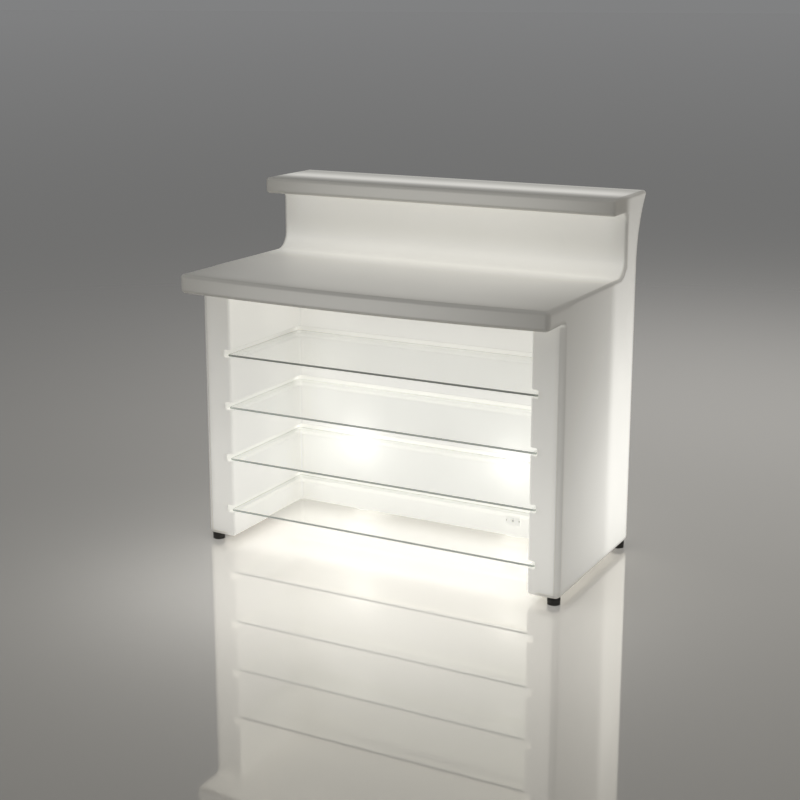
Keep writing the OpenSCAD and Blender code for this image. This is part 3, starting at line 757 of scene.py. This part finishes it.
def terminal_plastic():
    """Dark grey polyamide of the terminal box: dull and slightly fibrous."""
    return mottled("dark_polyamide", "#505153", 0.55, {"ior": 1.53}, 0.6 * MM, 0.02 * MM, shade=0.15)


def lead_sheath():
    """White PVC sheath of the inner leads: smooth and a little shiny."""
    return mottled("pvc_sheath", "#E6E5E0", 0.34, {"ior": 1.53}, 1.5 * MM, 0.02 * MM, shade=0.04)


def floor_material():
    """Plain pale floor, polished: it mirrors what stands on it."""
    stage = bpy.context.scene.counter_stage
    gloss, spread = 0.035, 0.01
    material, tree, shader = new_material(
        "plain_pale_floor", tuple(stage.floor), gloss, metallic=stage.floor_shine, ior=2.0
    )
    place = add_node(tree, "ShaderNodeTexCoord")
    # The polish is cloudy over some 0.7 m
    cloud = add_node(tree, "ShaderNodeTexNoise", None, {
        "Vector": place.outputs["Object"], "Scale": 1.5, "Detail": 2.0
    })
    rough = add_node(tree, "ShaderNodeMapRange", None, {
        "Value": cloud.outputs["Fac"], "To Min": gloss - spread, "To Max": gloss + spread
    })
    tree.links.new(rough.outputs["Result"], shader.inputs["Roughness"])
    return material


def wear(node_name, material):
    """Gives a CAD node a finish."""
    slots = frame["nodes"][node_name].data.materials
    slots.clear()
    slots.append(material)


# ---------------------------------------------------------------------------------------------- light


def hump(value, middle, width):
    """1 at the middle, falling to 37 % one width to either side of it."""
    return np.exp(-(((value - middle) / width) ** 2))


def mix(first, second, part):
    """first where part is 0, second where it is 1, and evenly between the two in between."""
    return first + (second - first) * part


class SkinLight:
    """How brightly the skin glows at each of its places. The squares of a normal's three parts add up to 1,
    so they say how much a place faces its end of the counter, the front, up or down, and a rounded edge
    gets a share of the light of both its faces."""

    def __init__(self, shell, glow, places, normals):
        self.shell, self.glow, self.places, self.normals = shell, glow, places, normals
        self.x, self.y, self.z = places.T
        self.width = abs(self.x)
        self.depth = np.maximum(shell.bay_y - self.y, 0)
        squares = normals**2
        self.outer = squares[:, 0] * (normals[:, 0] * self.x > 0)
        self.front = squares[:, 1] * (normals[:, 1] < 0)
        self.up = squares[:, 2] * (normals[:, 2] > 0)
        self.down = squares[:, 2] * (normals[:, 2] < 0)
        self.in_worktop = ease(shell.worktop_under - 2 * MM, shell.worktop_under + 3 * MM, self.z)
        self.in_ledge = ease(shell.ledge_under - 4 * MM, shell.ledge_under + 4 * MM, self.z)

    def level(self):
        """The rear wall's light and that of all before it, less what thicker places hold back, as a share
        of the peak."""
        light = mix(self.ahead(), self.rear(), self.share_of_rear())
        return np.clip(self.shaded(light) / self.glow.peak, 0, 1)

    def lamps(self):
        """In the hollow wall each lamp gives lamp * e to the power of -distance / reach, where a step
        sideways counts half because the light runs along the hollow. Skin that faces a lamp gets straight
        light too, by the cosine and the inverse square of the distance."""
        lamp_x, lamp_y = (GLOBE_LOW.x + GLOBE_HIGH.x) / 2, (GLOBE_LOW.y + GLOBE_HIGH.y) / 2
        lamp_z = GLOBE_HIGH.z - (GLOBE_HIGH.x - GLOBE_LOW.x) / 2
        nearest = lamp_y - self.shell.bay_y
        hollow, straight = np.zeros(len(self.x)), np.zeros(len(self.x))
        for here in (lamp_x, -lamp_x):
            way = self.places - (here, lamp_y, lamp_z)
            distance = np.linalg.norm(way, axis=1)
            along = np.linalg.norm(way * (0.5, 1, 1), axis=1)
            hollow += self.glow.lamp * np.exp(-along / self.glow.reach)
            facing = np.maximum((self.normals * way).sum(1) / distance, 0)
            straight += self.glow.spot * facing * (nearest / distance) ** 2
        return hollow, straight

    def riser(self):
        """Change of the riser's light with its height: less at its foot, a bright seam there, more below
        the ledge, and less at the two ends."""
        shell, glow, z = self.shell, self.glow, self.z
        foot, seam, seam_width, end_loss = 33 * MM, 28 * MM, 24 * MM, 0.25
        change = 1 - glow.riser_dip * ease(shell.worktop + 10 * MM, shell.worktop + foot, z)
        change += glow.riser_gain * ease(shell.worktop + 80 * MM, shell.ledge_under - 10 * MM, z)
        change += glow.seam_gain * hump(z, shell.worktop + seam, seam_width)
        above_foot = ease(shell.worktop + 40 * MM, shell.worktop + 120 * MM, z)
        return change * (1 - end_loss * self.near_end() * above_foot)

    def near_end(self):
        """Runs from 0 to 1 over the last 70 mm before either end."""
        return ease(self.shell.half - 70 * MM, self.shell.half, self.width)

    def rear(self):
        """The rear wall: the lamps' light, less behind the shelves, held back past a knee and less in the
        bay's corners. The ends face the lamps and get a little more. The ledge has a bright ridge above the
        hollow, and light reaches the flare's thin tip."""
        shell, glow = self.shell, self.glow
        hollow, straight = self.lamps()
        behind_bay = ease(shell.worktop + 80 * MM, shell.worktop - 60 * MM, self.z)
        hollow *= 1 - glow.bay_dip * (1 - self.outer) * behind_bay
        past = np.maximum(hollow - glow.knee, 0)
        hollow = np.minimum(hollow, glow.knee) + glow.knee_span * (1 - np.exp(-past / glow.knee_span))
        in_corner = ease(380 * MM, 500 * MM, self.width) * self.front * (self.z < shell.worktop_under)
        hollow *= (1 - glow.corner_dip * in_corner) * (1 + glow.end_gain * self.outer)
        hollow *= mix(1, self.riser(), self.front * (self.z > shell.worktop))
        ridge_y, ridge_width, end_loss = (shell.riser_y + shell.rear_y) / 2 - 33 * MM, 62 * MM, 0.3
        ridge = hump(self.y, ridge_y, ridge_width) * self.up * self.in_ledge
        ridge *= 1 - end_loss * self.near_end()
        tip = ease(shell.rear_y + 30 * MM, shell.rear_y + shell.sizes.flare, self.y)
        return hollow + straight + glow.ridge * ridge + glow.tip * tip

    def ahead(self):
        """Side walls: on the outer faces the light falls with e to the power of -depth / side_reach, and
        with 1 / (1 + h squared), where h is the way up or down from the brightest height over side_height.
        The inner and the front faces have levels of their own, and keep some light at any height. Worktop
        and ledge lie above them."""
        shell, glow, y = self.shell, self.glow, self.y
        brightest, inner_least, front_least = 200 * MM, 0.35, 0.2
        bell = 1 / (1 + ((self.z - brightest) / glow.side_height) ** 2)
        outer = glow.side_level * np.exp(-self.depth / glow.side_reach) * bell
        inner = glow.inner_level * mix(inner_least, 1, bell) * (1 - glow.corner_dip * ease(0, shell.bay_y, y))
        front = glow.front_level * mix(front_least, 1, bell)
        at_front = self.front * ease(shell.wall_y + 40 * MM, shell.wall_y + 15 * MM, y)
        light = mix(mix(inner, front, at_front), self.worktop(), self.in_worktop)
        light = mix(light, self.ledge(), self.in_ledge)
        return mix(light, outer, self.outer * (1 - self.in_ledge))

    def worktop(self):
        """Scattered light that falls with e to the power of -depth / worktop_reach, and with the cube of
        the way to the ends. The lip has a level of its own, which falls with that way's square."""
        glow, aside = self.glow, self.width / self.shell.half
        drop = glow.end_drop + 0.3 * ease(0, -300 * MM, self.y)
        light = glow.worktop_level * np.exp(-self.depth / glow.worktop_reach) * (1 - drop * aside**3)
        lip = glow.lip_level * (1 - 0.8 * aside**2)
        return mix(light, lip, self.front * ease(-200 * MM, -300 * MM, self.y))

    def ledge(self):
        """The ledge ahead of the riser: most light on its lip, and less with the cube of the way to the
        ends."""
        shell, top_level = self.shell, 0.2
        towards_lip = ease(shell.riser_y, shell.ledge_y + 10 * MM, self.y)
        light = self.glow.ledge_level * (1 - (self.width / shell.half) ** 3) * towards_lip
        return light * mix(top_level, 1, self.front)

    def share_of_rear(self):
        """How much of a place's light is the rear wall's: the change is sharp in the bay's corners and soft
        in the worktop, on the end faces and in the ledge."""
        shell, outer, y = self.shell, self.outer, self.y
        in_bay = ease(shell.bay_y - 9 * MM, shell.bay_y - MM, y)
        on_end = ease(shell.bay_y - 65 * MM, shell.bay_y + 6 * MM, y)
        ledge_start = shell.ledge_y - 6 * MM + 80 * MM * outer
        ledge_end = shell.riser_y + 6 * MM + 20 * MM * outer
        share = mix(in_bay, ease(40 * MM, 200 * MM, y), self.in_worktop)
        return mix(mix(share, on_end, outer), ease(ledge_start, ledge_end, y), self.in_ledge)

    def shaded(self, light):
        """Less light comes through the thicker rounded edges, at the two ends above all, through the
        underside, next to the rear edges, in the worktop next to its lip, at the very bottom and inside the
        grooves."""
        shell, glow, x, y, z = self.shell, self.glow, self.x, self.y, self.z
        straight_y, aside = shell.unbow(x, y), self.width - shell.bay_half
        edge = shell.rounding(x, straight_y, z) * np.maximum(ease(20 * MM, 40 * MM, aside), self.in_worktop)
        at_end = ease(shell.half - 14 * MM, shell.half - 8 * MM, self.width)
        light = light * (1 - mix(glow.edge_shade, glow.end_shade, at_end) * edge)
        light *= 1 - glow.base_dip * self.down * (z < shell.bottom + 20 * MM)
        light *= 1 - glow.rim_shade * self.outer * hump(shell.rear_face(y, z), -11 * MM, 5 * MM)
        light *= 1 - glow.brim_shade * self.up * ease(shell.corner_y + 60 * MM, shell.corner_y, straight_y)
        light *= 1 - glow.foot_shade * np.exp(-(z - shell.bottom) / (45 * MM))
        by_groove = (y < shell.bay_y + 30 * MM) * (aside < 30 * MM)
        past_mouth = np.maximum(ease(shell.bay_y - 2 * MM, shell.bay_y, y), ease(0, 3 * MM, aside))
        for groove_z in shell.groove_z:
            on_groove = ease(4 * MM, MM, abs(shell.groove(x, y, z, groove_z)))
            light *= 1 - glow.groove_dip * on_groove * past_mouth * by_groove
        return light


# ---------------------------------------------------------------------------------------------- operators


def dress(piece, body, slot, *nodes):
    """Lets a piece ride on a body and stand for its CAD nodes; the slot's name is not used."""
    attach(piece, body)
    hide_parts(*nodes)
    return piece


def round_box(node_name):
    """The middle of a round node's underside, its radius and its height."""
    low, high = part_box(node_name)
    return ((low.x + high.x) / 2, (low.y + high.y) / 2, low.z), (high.x - low.x) / 2, high.z - low.z


def spindle(x, y, profile, segments=64):
    """Places and faces of a closed solid that stands upright: a profile of (radius, height) points turned
    round the axis, between two flat ends."""
    return turned(profile, (x, y, 0), segments), capped_faces(len(profile), segments)


def cylinder(x, y, low, high, radius, segments=64):
    """Places and faces of a closed cylinder that stands upright."""
    return spindle(x, y, [(radius, low), (radius, high)], segments)


def block(low, high):
    """Places and faces of a closed box between two corners."""
    places = np.array([
        (x, y, z) for z in (low[2], high[2]) for x, y in (
            (low[0], low[1]), (high[0], low[1]), (high[0], high[1]), (low[0], high[1]))
    ])
    faces = [[3, 2, 1, 0], [4, 5, 6, 7]] + [[i, (i + 1) % 4, (i + 1) % 4 + 4, i + 4] for i in range(4)]
    return places, faces


def joined(parts):
    """Several lists of places and faces as one."""
    places, faces, start = [], [], 0
    for part_places, part_faces in parts:
        places.append(np.asarray(part_places))
        faces += [[corner + start for corner in face] for face in part_faces]
        start += len(part_places)
    return np.concatenate(places), faces


# Steps of the two grids where they are finest, in millimetres
SURFACE_STEP, HOLLOW_STEP = 2.65, 8.0


class COUNTER_OT_body_shell(bpy.types.Operator):
    """Makes the hollow moulding with its grooves, holes and glow"""

    bl_idname = "counter.body_shell"
    bl_label = "Moulding"

    def execute(self, context):
        shell = Shell(context.scene.counter_shell)
        mesh = self.moulded(context, shell)
        piece = bpy.data.objects.new("moulding", mesh)
        context.scene.collection.objects.link(piece)
        mesh.materials.clear()
        mesh.materials.append(moulded_polyethylene())
        mesh.shade_smooth()
        mesh.set_sharp_from_angle(angle=math.radians(50))
        places, normals = np.zeros((2, len(mesh.vertices) * 3))
        mesh.vertices.foreach_get("co", places)
        mesh.vertices.foreach_get("normal", normals)
        light = SkinLight(shell, context.scene.counter_glow, places.reshape(-1, 3), normals.reshape(-1, 3))
        levels = light.level().astype(np.float32)
        mesh.attributes.new("glow", "FLOAT", "POINT").data.foreach_set("value", levels)
        even = piece.modifiers.new("even_shading", "WEIGHTED_NORMAL")
        even.keep_sharp, even.weight = True, 50
        dress(piece, "counter", "polyethylene", "body_shell")
        return {"FINISHED"}

    def moulded(self, context, shell):
        """The skin between its outer and its inner surface, with the bosses added and the holes cut out."""
        outer, outer_faces = surface_net(shell.distance, shell_lines(shell, SURFACE_STEP))
        inner, inner_faces = surface_net(shell.hollow, shell_lines(shell, HOLLOW_STEP))
        places = np.concatenate([outer, inner])
        places[:, 1] -= shell.bow(places[:, 0], places[:, 1])
        faces = np.concatenate([outer_faces, inner_faces[:, ::-1] + len(outer)])
        solid = put_mesh("moulding", places, faces, [])
        tools = []
        for operation, parts in (("UNION", self.bosses(shell)), ("DIFFERENCE", self.holes(shell))):
            tools.append(put_mesh("tool", *joined(parts), []))
            step = solid.modifiers.new("step", "BOOLEAN")
            step.operation, step.solver, step.object = operation, "MANIFOLD", tools[-1]
        mesh = bpy.data.meshes.new_from_object(solid.evaluated_get(context.evaluated_depsgraph_get()))
        for used in (solid, *tools):
            bpy.data.objects.remove(used)
        if len(mesh.vertices) < len(outer):
            raise RuntimeError("the holes could not be cut into the moulding")
        mesh.name = "moulding"
        return mesh

    def bosses(self, shell):
        """Closed cylinders that are added round the four threaded inserts and above the screws' ends."""
        sizes = shell.sizes
        radius = (INSERT_HIGH.x - INSERT_LOW.x) / 2 + sizes.boss_wall
        # Each boss starts inside the skin of the underside, so that it joins it
        low, high = shell.bottom + 0.9 * sizes.skin, SCREW_HIGH.z + sizes.screw_room + sizes.skin
        middles = [(sum(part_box(f"foot_insert_{number}"), Vector()) / 2) for number in FEET]
        return [cylinder(middle.x, middle.y, low, high, radius) for middle in middles]

    def holes(self, shell):
        """Closed solids that are cut out: four screw bores, two access holes with their screws' holes, and
        the outlet's window with its own."""
        sizes, skin = shell.sizes, shell.sizes.skin
        play, head_rim, past, gap = 0.05 * MM, 2 * MM, MM, 0.5 * MM
        insert_radius = (INSERT_HIGH.x - INSERT_LOW.x) / 2 + play
        bore_radius = (SCREW_HIGH.x - SCREW_LOW.x) / 2 - head_rim
        screw_circle = (sizes.access + COVER_HIGH.x - COVER_LOW.x) / 4
        parts = []
        for number in FEET:
            (x, y, low_z), _, _ = round_box(f"foot_insert_{number}")
            parts.append(spindle(x, y, [
                (insert_radius, low_z - past), (insert_radius, INSERT_HIGH.z),
                (bore_radius, INSERT_HIGH.z), (bore_radius, SCREW_HIGH.z + sizes.screw_room),
            ], 32))
        low_z, high_z = shell.bottom - past, shell.bottom + skin + past
        for side in SIDES:
            (x, y, _), _, _ = round_box(f"lamp_globe_{side}")
            parts.append(cylinder(x, y, low_z, high_z, sizes.access / 2, 96))
            for angle in np.radians([45, 135, 225, 315]):
                screw_x, screw_y = x + screw_circle * math.cos(angle), y + screw_circle * math.sin(angle)
                parts.append(cylinder(screw_x, screw_y, low_z, high_z, sizes.screw_hole / 2, 24))
        parts.append(block(
            (TERMINAL_LOW.x - gap, TERMINAL_LOW.y - past, TERMINAL_LOW.z - gap),
            (TERMINAL_HIGH.x + gap, TERMINAL_LOW.y + skin + past, TERMINAL_HIGH.z + gap),
        ))
        front, back = shell.bay_y - past, shell.bay_y + skin + past
        middle_z = (PLATE_LOW.z + PLATE_HIGH.z) / 2
        for x in (PLATE_LOW.x + sizes.outlet_gap, PLATE_HIGH.x - sizes.outlet_gap):
            places, faces = cylinder(0, 0, front, back, sizes.outlet_hole / 2, 24)
            parts.append((places[:, [0, 2, 1]] * (-1, 1, 1) + (x, 0, middle_z), faces))
        return parts


class COUNTER_OT_glass_shelves(bpy.types.Operator):
    """Makes the four panes of float glass with ground edges"""

    bl_idname = "counter.glass_shelves"
    bl_label = "Glass shelves"

    def execute(self, context):
        sizes = context.scene.counter_glass
        materials = [float_glass(), ground_glass_edge()]
        for number in SHELVES:
            places, faces, face_material = self.pane(sizes, *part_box(f"glass_shelf_{number}"))
            pane = put_mesh(f"pane_{number}", places, faces, materials, face_material, math.radians(60))
            dress(pane, f"shelf_{number}", "float_glass", f"glass_shelf_{number}")
        return {"FINISHED"}

    def pane(self, sizes, low, high):
        """Rings round the pane's outline, from the underside round the edge to the top. Ring after ring,
        the outline's inset and its height follow a flat edge with a quarter-round arris above and below
        it."""
        quarter = np.linspace(0, math.pi / 2, 4)
        arris, least = sizes.arris, 0.3 * MM
        away, along = arris * (1 - np.sin(quarter)), arris * (1 - np.cos(quarter))
        bottom, top = low.z + sizes.seat, high.z
        insets = np.concatenate([[3 * arris], away, along, [3 * arris]])
        heights = np.concatenate([[bottom], bottom + along, top - away, [top]])
        rings = []
        for inset in insets:
            front, back = max(sizes.corner - inset, least), max(sizes.back_corner - inset, least)
            left, right, near, far = low.x + inset, high.x - inset, low.y + inset, high.y - inset
            rings.append(rounded_outline([
                (left, near, front), (right, near, front), (right, far, back), (left, far, back)
            ]))
        count = len(rings[0])
        places = np.concatenate([
            np.column_stack([ring, np.full(count, z)]) for ring, z in zip(rings, heights)
        ])
        row = np.arange((len(rings) - 1) * count) // count
        on_edge = (row > 0) & (row < len(rings) - 2)
        return places, capped_faces(len(rings), count), np.concatenate([on_edge.astype(int), [0, 0]])


class COUNTER_OT_feet(bpy.types.Operator):
    """Makes the four levelling feet: pads, threaded screws and the inserts' finish"""

    bl_idname = "counter.feet"
    bl_label = "Levelling feet"

    def execute(self, context):
        sizes = context.scene.counter_feet
        nylon, zinc, steel = moulded_black_nylon(), zinc_plated_steel(), turned_steel()
        for number in FEET:
            places, faces = self.pad(sizes, *round_box(f"foot_pad_{number}"))
            pad = put_mesh(f"pad_{number}", places, faces, [nylon])
            dress(pad, f"foot_{number}", "black_nylon", f"foot_pad_{number}")
            places, faces = self.screw(sizes, *round_box(f"foot_screw_{number}"))
            screw = put_mesh(f"screw_{number}", places, faces, [zinc])
            dress(screw, f"foot_{number}_screw", "zinc_steel", f"foot_screw_{number}")
            wear(f"foot_insert_{number}", steel)
        return {"FINISHED"}

    def pad(self, sizes, centre, radius, height):
        """The outline of the pad's section, its corners rounded, turned round the screw's axis: a flat
        sole, a shallow ring in its side, a rounded shoulder and the socket for the screw's head."""
        _, head_radius, _ = round_box("foot_screw_1")
        play, core, floor, segments = 0.08 * MM, 0.2 * MM, 4 * MM, 72
        socket, shaft, roof = head_radius + play, sizes.screw / 2 + play, floor + sizes.head + 0.3 * MM
        waist, middle = radius - sizes.waist, 0.42 * height
        section = rounded_outline([
            (core, 0, 0.05 * MM), (radius - 0.5 * MM, 0, 1.2 * MM),
            (radius - 0.3 * MM, middle - 1.4 * MM, 0.4 * MM), (waist - 0.3 * MM, middle - MM, 0.3 * MM),
            (waist - 0.2 * MM, middle + MM, 0.3 * MM), (radius, middle + 1.4 * MM, 0.4 * MM),
            (radius, height, 2.2 * MM), (shaft, height, 0.5 * MM), (shaft, roof, 0.1 * MM),
            (socket, roof, 0.1 * MM), (socket, floor, 0.2 * MM), (core, floor, 0.05 * MM),
        ], 4)
        return turned(section, centre, segments), grid_faces(len(section), segments, close_rings=True)

    def screw(self, sizes, centre, head_radius, height):
        """Rows of a helical surface: the radius falls and rises with the fraction of a pitch that a point
        has climbed past the thread's start, which goes once round for each turn. Below the thread is the
        head."""
        steps, segments = 8, 32
        rows = round((height - sizes.head - MM) / sizes.pitch * steps)
        angle = np.linspace(0, 2 * math.pi, segments, endpoint=False)
        climb = np.linspace(sizes.head + 0.05 * MM, height - 1.2 * MM, rows)[:, None]
        turn = (climb / sizes.pitch - angle / (2 * math.pi)) % 1
        flank = np.clip(abs(turn - 0.5) * 2.4 - 0.15, 0, 1)
        thread = sizes.screw / 2 - sizes.thread_depth * flank
        core, bevel = sizes.screw / 2 - sizes.thread_depth, 0.4 * MM
        head = np.array([
            (0.3 * MM, 0), (head_radius - bevel, 0), (head_radius, bevel), (head_radius, sizes.head - bevel),
            (head_radius - bevel, sizes.head), (core - 0.1 * MM, sizes.head),
        ])
        tip = np.array([(core - 0.2 * MM, height - 0.5 * MM), (core - 0.9 * MM, height), (0.3 * MM, height)])
        below, above = (np.repeat(part[:, :1], segments, 1) for part in (head, tip))
        radii = np.concatenate([below, thread, above])
        heights = np.concatenate([head[:, 1:], climb, tip[:, 1:]])
        return ring_places(radii, heights, centre, segments), capped_faces(len(radii), segments)


class COUNTER_OT_lamps(bpy.types.Operator):
    """Finishes the two lamps, their covers, screws and leads"""

    bl_idname = "counter.lamps"
    bl_label = "Lamps and leads"

    def execute(self, context):
        zinc, holder = bpy.data.materials["zinc_plated_steel"], heatproof_plastic()
        lamp = {
            "cover": moulded_cover(), "gasket": rubber_gasket(), "stand": zinc, "holder": holder,
            "cap": rolled_aluminium(), "housing": holder, "globe": opal_globe(),
        }
        finishes = {f"lamp_{piece}_{side}": lamp[piece] for side in SIDES for piece in lamp}
        finishes |= dict.fromkeys([f"lead_{side}" for side in SIDES], lead_sheath())
        finishes |= {"cover_screws": zinc, "terminal_box": terminal_plastic()}
        for node_name, material in finishes.items():
            wear(node_name, material)
        return {"FINISHED"}


class COUNTER_OT_outlet(bpy.types.Operator):
    """Makes the cable outlet's plate, and finishes its bushing and screws"""

    bl_idname = "counter.outlet"
    bl_label = "Cable outlet"

    def execute(self, context):
        plate = put_mesh("outlet_cover", *self.plate(), [outlet_plastic()])
        dress(plate, "counter", "outlet_plastic", "outlet_plate")
        wear("outlet_bushing", bushing_rubber())
        wear("outlet_screws", bpy.data.materials["zinc_plated_steel"])
        return {"FINISHED"}

    def plate(self):
        """A ring-shaped surface: its section goes from the back edge of the plate over the rounded outer
        edge and the face to the round hole and back. Each ring is the plate's rounded outline, drawn
        towards the hole's circle by a share that grows across the face."""
        centre_x, centre_z = (PLATE_LOW.x + PLATE_HIGH.x) / 2, (PLATE_LOW.z + PLATE_HIGH.z) / 2
        half_x, half_z = (PLATE_HIGH.x - PLATE_LOW.x) / 2, (PLATE_HIGH.z - PLATE_LOW.z) / 2
        thick, edge, corner = PLATE_HIGH.y - PLATE_LOW.y, 0.8 * MM, 3 * MM
        hole = (BUSHING_HIGH.x - BUSHING_LOW.x) / 2 - 1.5 * MM

        def outline(inset):
            """The plate's rounded outline, drawn in on all sides."""
            across, up, radius = half_x - inset, half_z - inset, corner - inset
            return rounded_outline([
                (-across, -up, radius), (across, -up, radius), (across, up, radius), (-across, up, radius)
            ], 12)

        rim, inner = outline(0), outline(edge)
        angle = np.arctan2(rim[:, 1], rim[:, 0])
        circle = hole * np.stack([np.cos(angle), np.sin(angle)], -1)
        quarter = np.linspace(0, math.pi / 2, 5)
        rings = [(outline(edge * (1 - math.cos(q))), thick - edge + edge * math.sin(q)) for q in quarter]
        rings += [(mix(inner, circle, share), thick) for share in (0.25, 0.5, 0.75, 0.97, 1)]
        rings += [(circle, 0.0), (mix(inner, circle, 0.5), 0.0), (rim, 0.0)]
        places = np.concatenate([
            np.column_stack([
                centre_x + ring[:, 0], np.full(len(ring), PLATE_HIGH.y - depth), centre_z + ring[:, 1]
            ]) for ring, depth in rings
        ])
        return places, grid_faces(len(rings), len(rim), close_rings=True)


# Half the floor's side and how far the camera sees, in metres
FLOOR_REACH, SIGHT = 180.0, 400.0
# Width of the camera's sensor, in millimetres
SENSOR = 36.0
# Lights on the floor alone, which face down: name, place, width and depth, in metres, and the size that holds
# their power
FLOOR_LIGHTS = (
    ("floor_light", (0.4, 2.2, 2.8), (2.6, 2.6), "pool"),
    ("bay_light", (0.0, -0.045, 0.09), (0.98, 0.4), "bay"),
    ("front_light", (0.0, -0.5, 0.5), (1.1, 0.5), "front"),
)


class COUNTER_OT_stage(bpy.types.Operator):
    """Makes the floor, the camera, the lights and the surround"""

    bl_idname = "counter.stage"
    bl_label = "Stage"

    def execute(self, context):
        sizes, scene = context.scene.counter_stage, context.scene
        corners = [(x * FLOOR_REACH, y * FLOOR_REACH, 0) for x, y in ((-1, -1), (1, -1), (1, 1), (-1, 1))]
        floor = put_mesh("floor", corners, [[0, 1, 2, 3]], [floor_material()])
        scene.camera = self.camera(sizes)
        self.lights(sizes, floor)
        scene.world = self.surround(sizes)
        scene.view_settings.view_transform = "Standard"
        return {"FINISHED"}

    def camera(self, sizes):
        """A camera with a small upright shift of its lens."""
        lens = bpy.data.cameras.new("camera")
        lens.lens, lens.sensor_width, lens.shift_y, lens.clip_end = sizes.lens, SENSOR, sizes.shift, SIGHT
        camera = bpy.data.objects.new("camera", lens)
        camera.location = (sizes.camera_x, sizes.camera_y, sizes.camera_z)
        camera.rotation_euler = (math.pi / 2 - sizes.pitch, 0, sizes.yaw)
        bpy.context.scene.collection.objects.link(camera)
        return camera

    def lights(self, sizes, floor):
        """A key light and a fill light on everything, and lights on the floor alone, which stand in for the
        light that the moulding throws on it."""
        self.soft_light("key_light", (-1.3, -2.7, 3.4), 2.6, sizes.key, "#FFFDF8")
        # The polished floor would show the fill light as a bright square beside the counter
        self.soft_light("fill_light", (3.2, 0.6, 3.0), 2.4, sizes.fill, "#FFF9EE").visible_glossy = False
        lit_floor = bpy.data.collections.new("lit_floor")
        lit_floor.objects.link(floor)
        for name, place, (width, depth), power in FLOOR_LIGHTS:
            light = self.soft_light(name, place, width, getattr(sizes, power), "#FAFAFA")
            light.data.shape, light.data.size_y = "RECTANGLE", depth
            light.rotation_euler = (0, 0, 0)
            light.visible_camera = light.visible_glossy = False
            light.light_linking.receiver_collection = light.light_linking.blocker_collection = lit_floor

    def surround(self, sizes):
        """Light from all round: from the horizon up, the walls' gives way to the ceiling's."""
        world = bpy.data.worlds.new("surround")
        world.use_nodes = True
        tree, ceiling_angle = world.node_tree, math.radians(35)
        direction = add_node(tree, "ShaderNodeTexCoord")
        parts = add_node(tree, "ShaderNodeSeparateXYZ", None, {"Vector": direction.outputs["Generated"]})
        level = add_node(tree, "ShaderNodeMapRange", {"interpolation_type": "SMOOTHSTEP"}, {
            "Value": parts.outputs["Z"], "From Max": math.sin(ceiling_angle),
            "To Min": sizes.horizon, "To Max": sizes.ceiling,
        })
        back = tree.nodes["Background"]
        back.inputs["Color"].default_value = (*linear("#F4F5F6"), 1)
        tree.links.new(level.outputs["Result"], back.inputs["Strength"])
        return world

    def soft_light(self, name, place, size, power, hex_colour):
        """A large square light that looks at the counter's middle."""
        data = bpy.data.lights.new(name, "AREA")
        data.shape, data.size, data.energy, data.color = "SQUARE", size, power, linear(hex_colour)
        light = bpy.data.objects.new(name, data)
        light.location = place
        middle = (Vector(CAD_BOX[0]) + Vector(CAD_BOX[1])) / 2
        light.rotation_euler = (middle - Vector(place)).to_track_quat("-Z", "Y").to_euler()
        bpy.context.scene.collection.objects.link(light)
        return light


class COUNTER_PT_panel(bpy.types.Panel):
    """Lists the counter's sizes and the operators that make it"""

    bl_label = "Bar counter"
    bl_idname = "COUNTER_PT_panel"
    bl_space_type = "VIEW_3D"
    bl_region_type = "UI"
    bl_category = "Counter"

    def draw(self, context):
        for title, (name, group, operators) in GROUPS.items():
            box = self.layout.box()
            box.label(text=title)
            for key in group.__annotations__:
                box.prop(getattr(context.scene, name), key)
            for operator in operators:
                box.operator(operator.bl_idname)


GROUPS = {
    "Moulding": ("counter_shell", ShellSizes, (COUNTER_OT_body_shell,)),
    "Glow": ("counter_glow", GlowSizes, ()),
    "Glass": ("counter_glass", GlassSizes, (COUNTER_OT_glass_shelves,)),
    "Feet": ("counter_feet", FootSizes, (COUNTER_OT_feet, COUNTER_OT_lamps, COUNTER_OT_outlet)),
    "Stage": ("counter_stage", StageSizes, (COUNTER_OT_stage,)),
}
OPERATORS = [operator for _, _, operators in GROUPS.values() for operator in operators]


def register():
    """Registers the size groups, the operators and the panel."""
    for name, group, _ in GROUPS.values():
        bpy.utils.register_class(group)
        setattr(bpy.types.Scene, name, PointerProperty(type=group))
    for operator in OPERATORS:
        bpy.utils.register_class(operator)
    bpy.utils.register_class(COUNTER_PT_panel)


def unregister():
    """Takes everything that register() added away again."""
    bpy.utils.unregister_class(COUNTER_PT_panel)
    for operator in reversed(OPERATORS):
        bpy.utils.unregister_class(operator)
    for name, group, _ in reversed(GROUPS.values()):
        delattr(bpy.types.Scene, name)
        bpy.utils.unregister_class(group)


def main():
    """Makes every piece and the stage."""
    register()
    for operator in OPERATORS:
        category, name = operator.bl_idname.split(".")
        getattr(getattr(bpy.ops, category), name)()


if __name__ == "__main__":
    main()
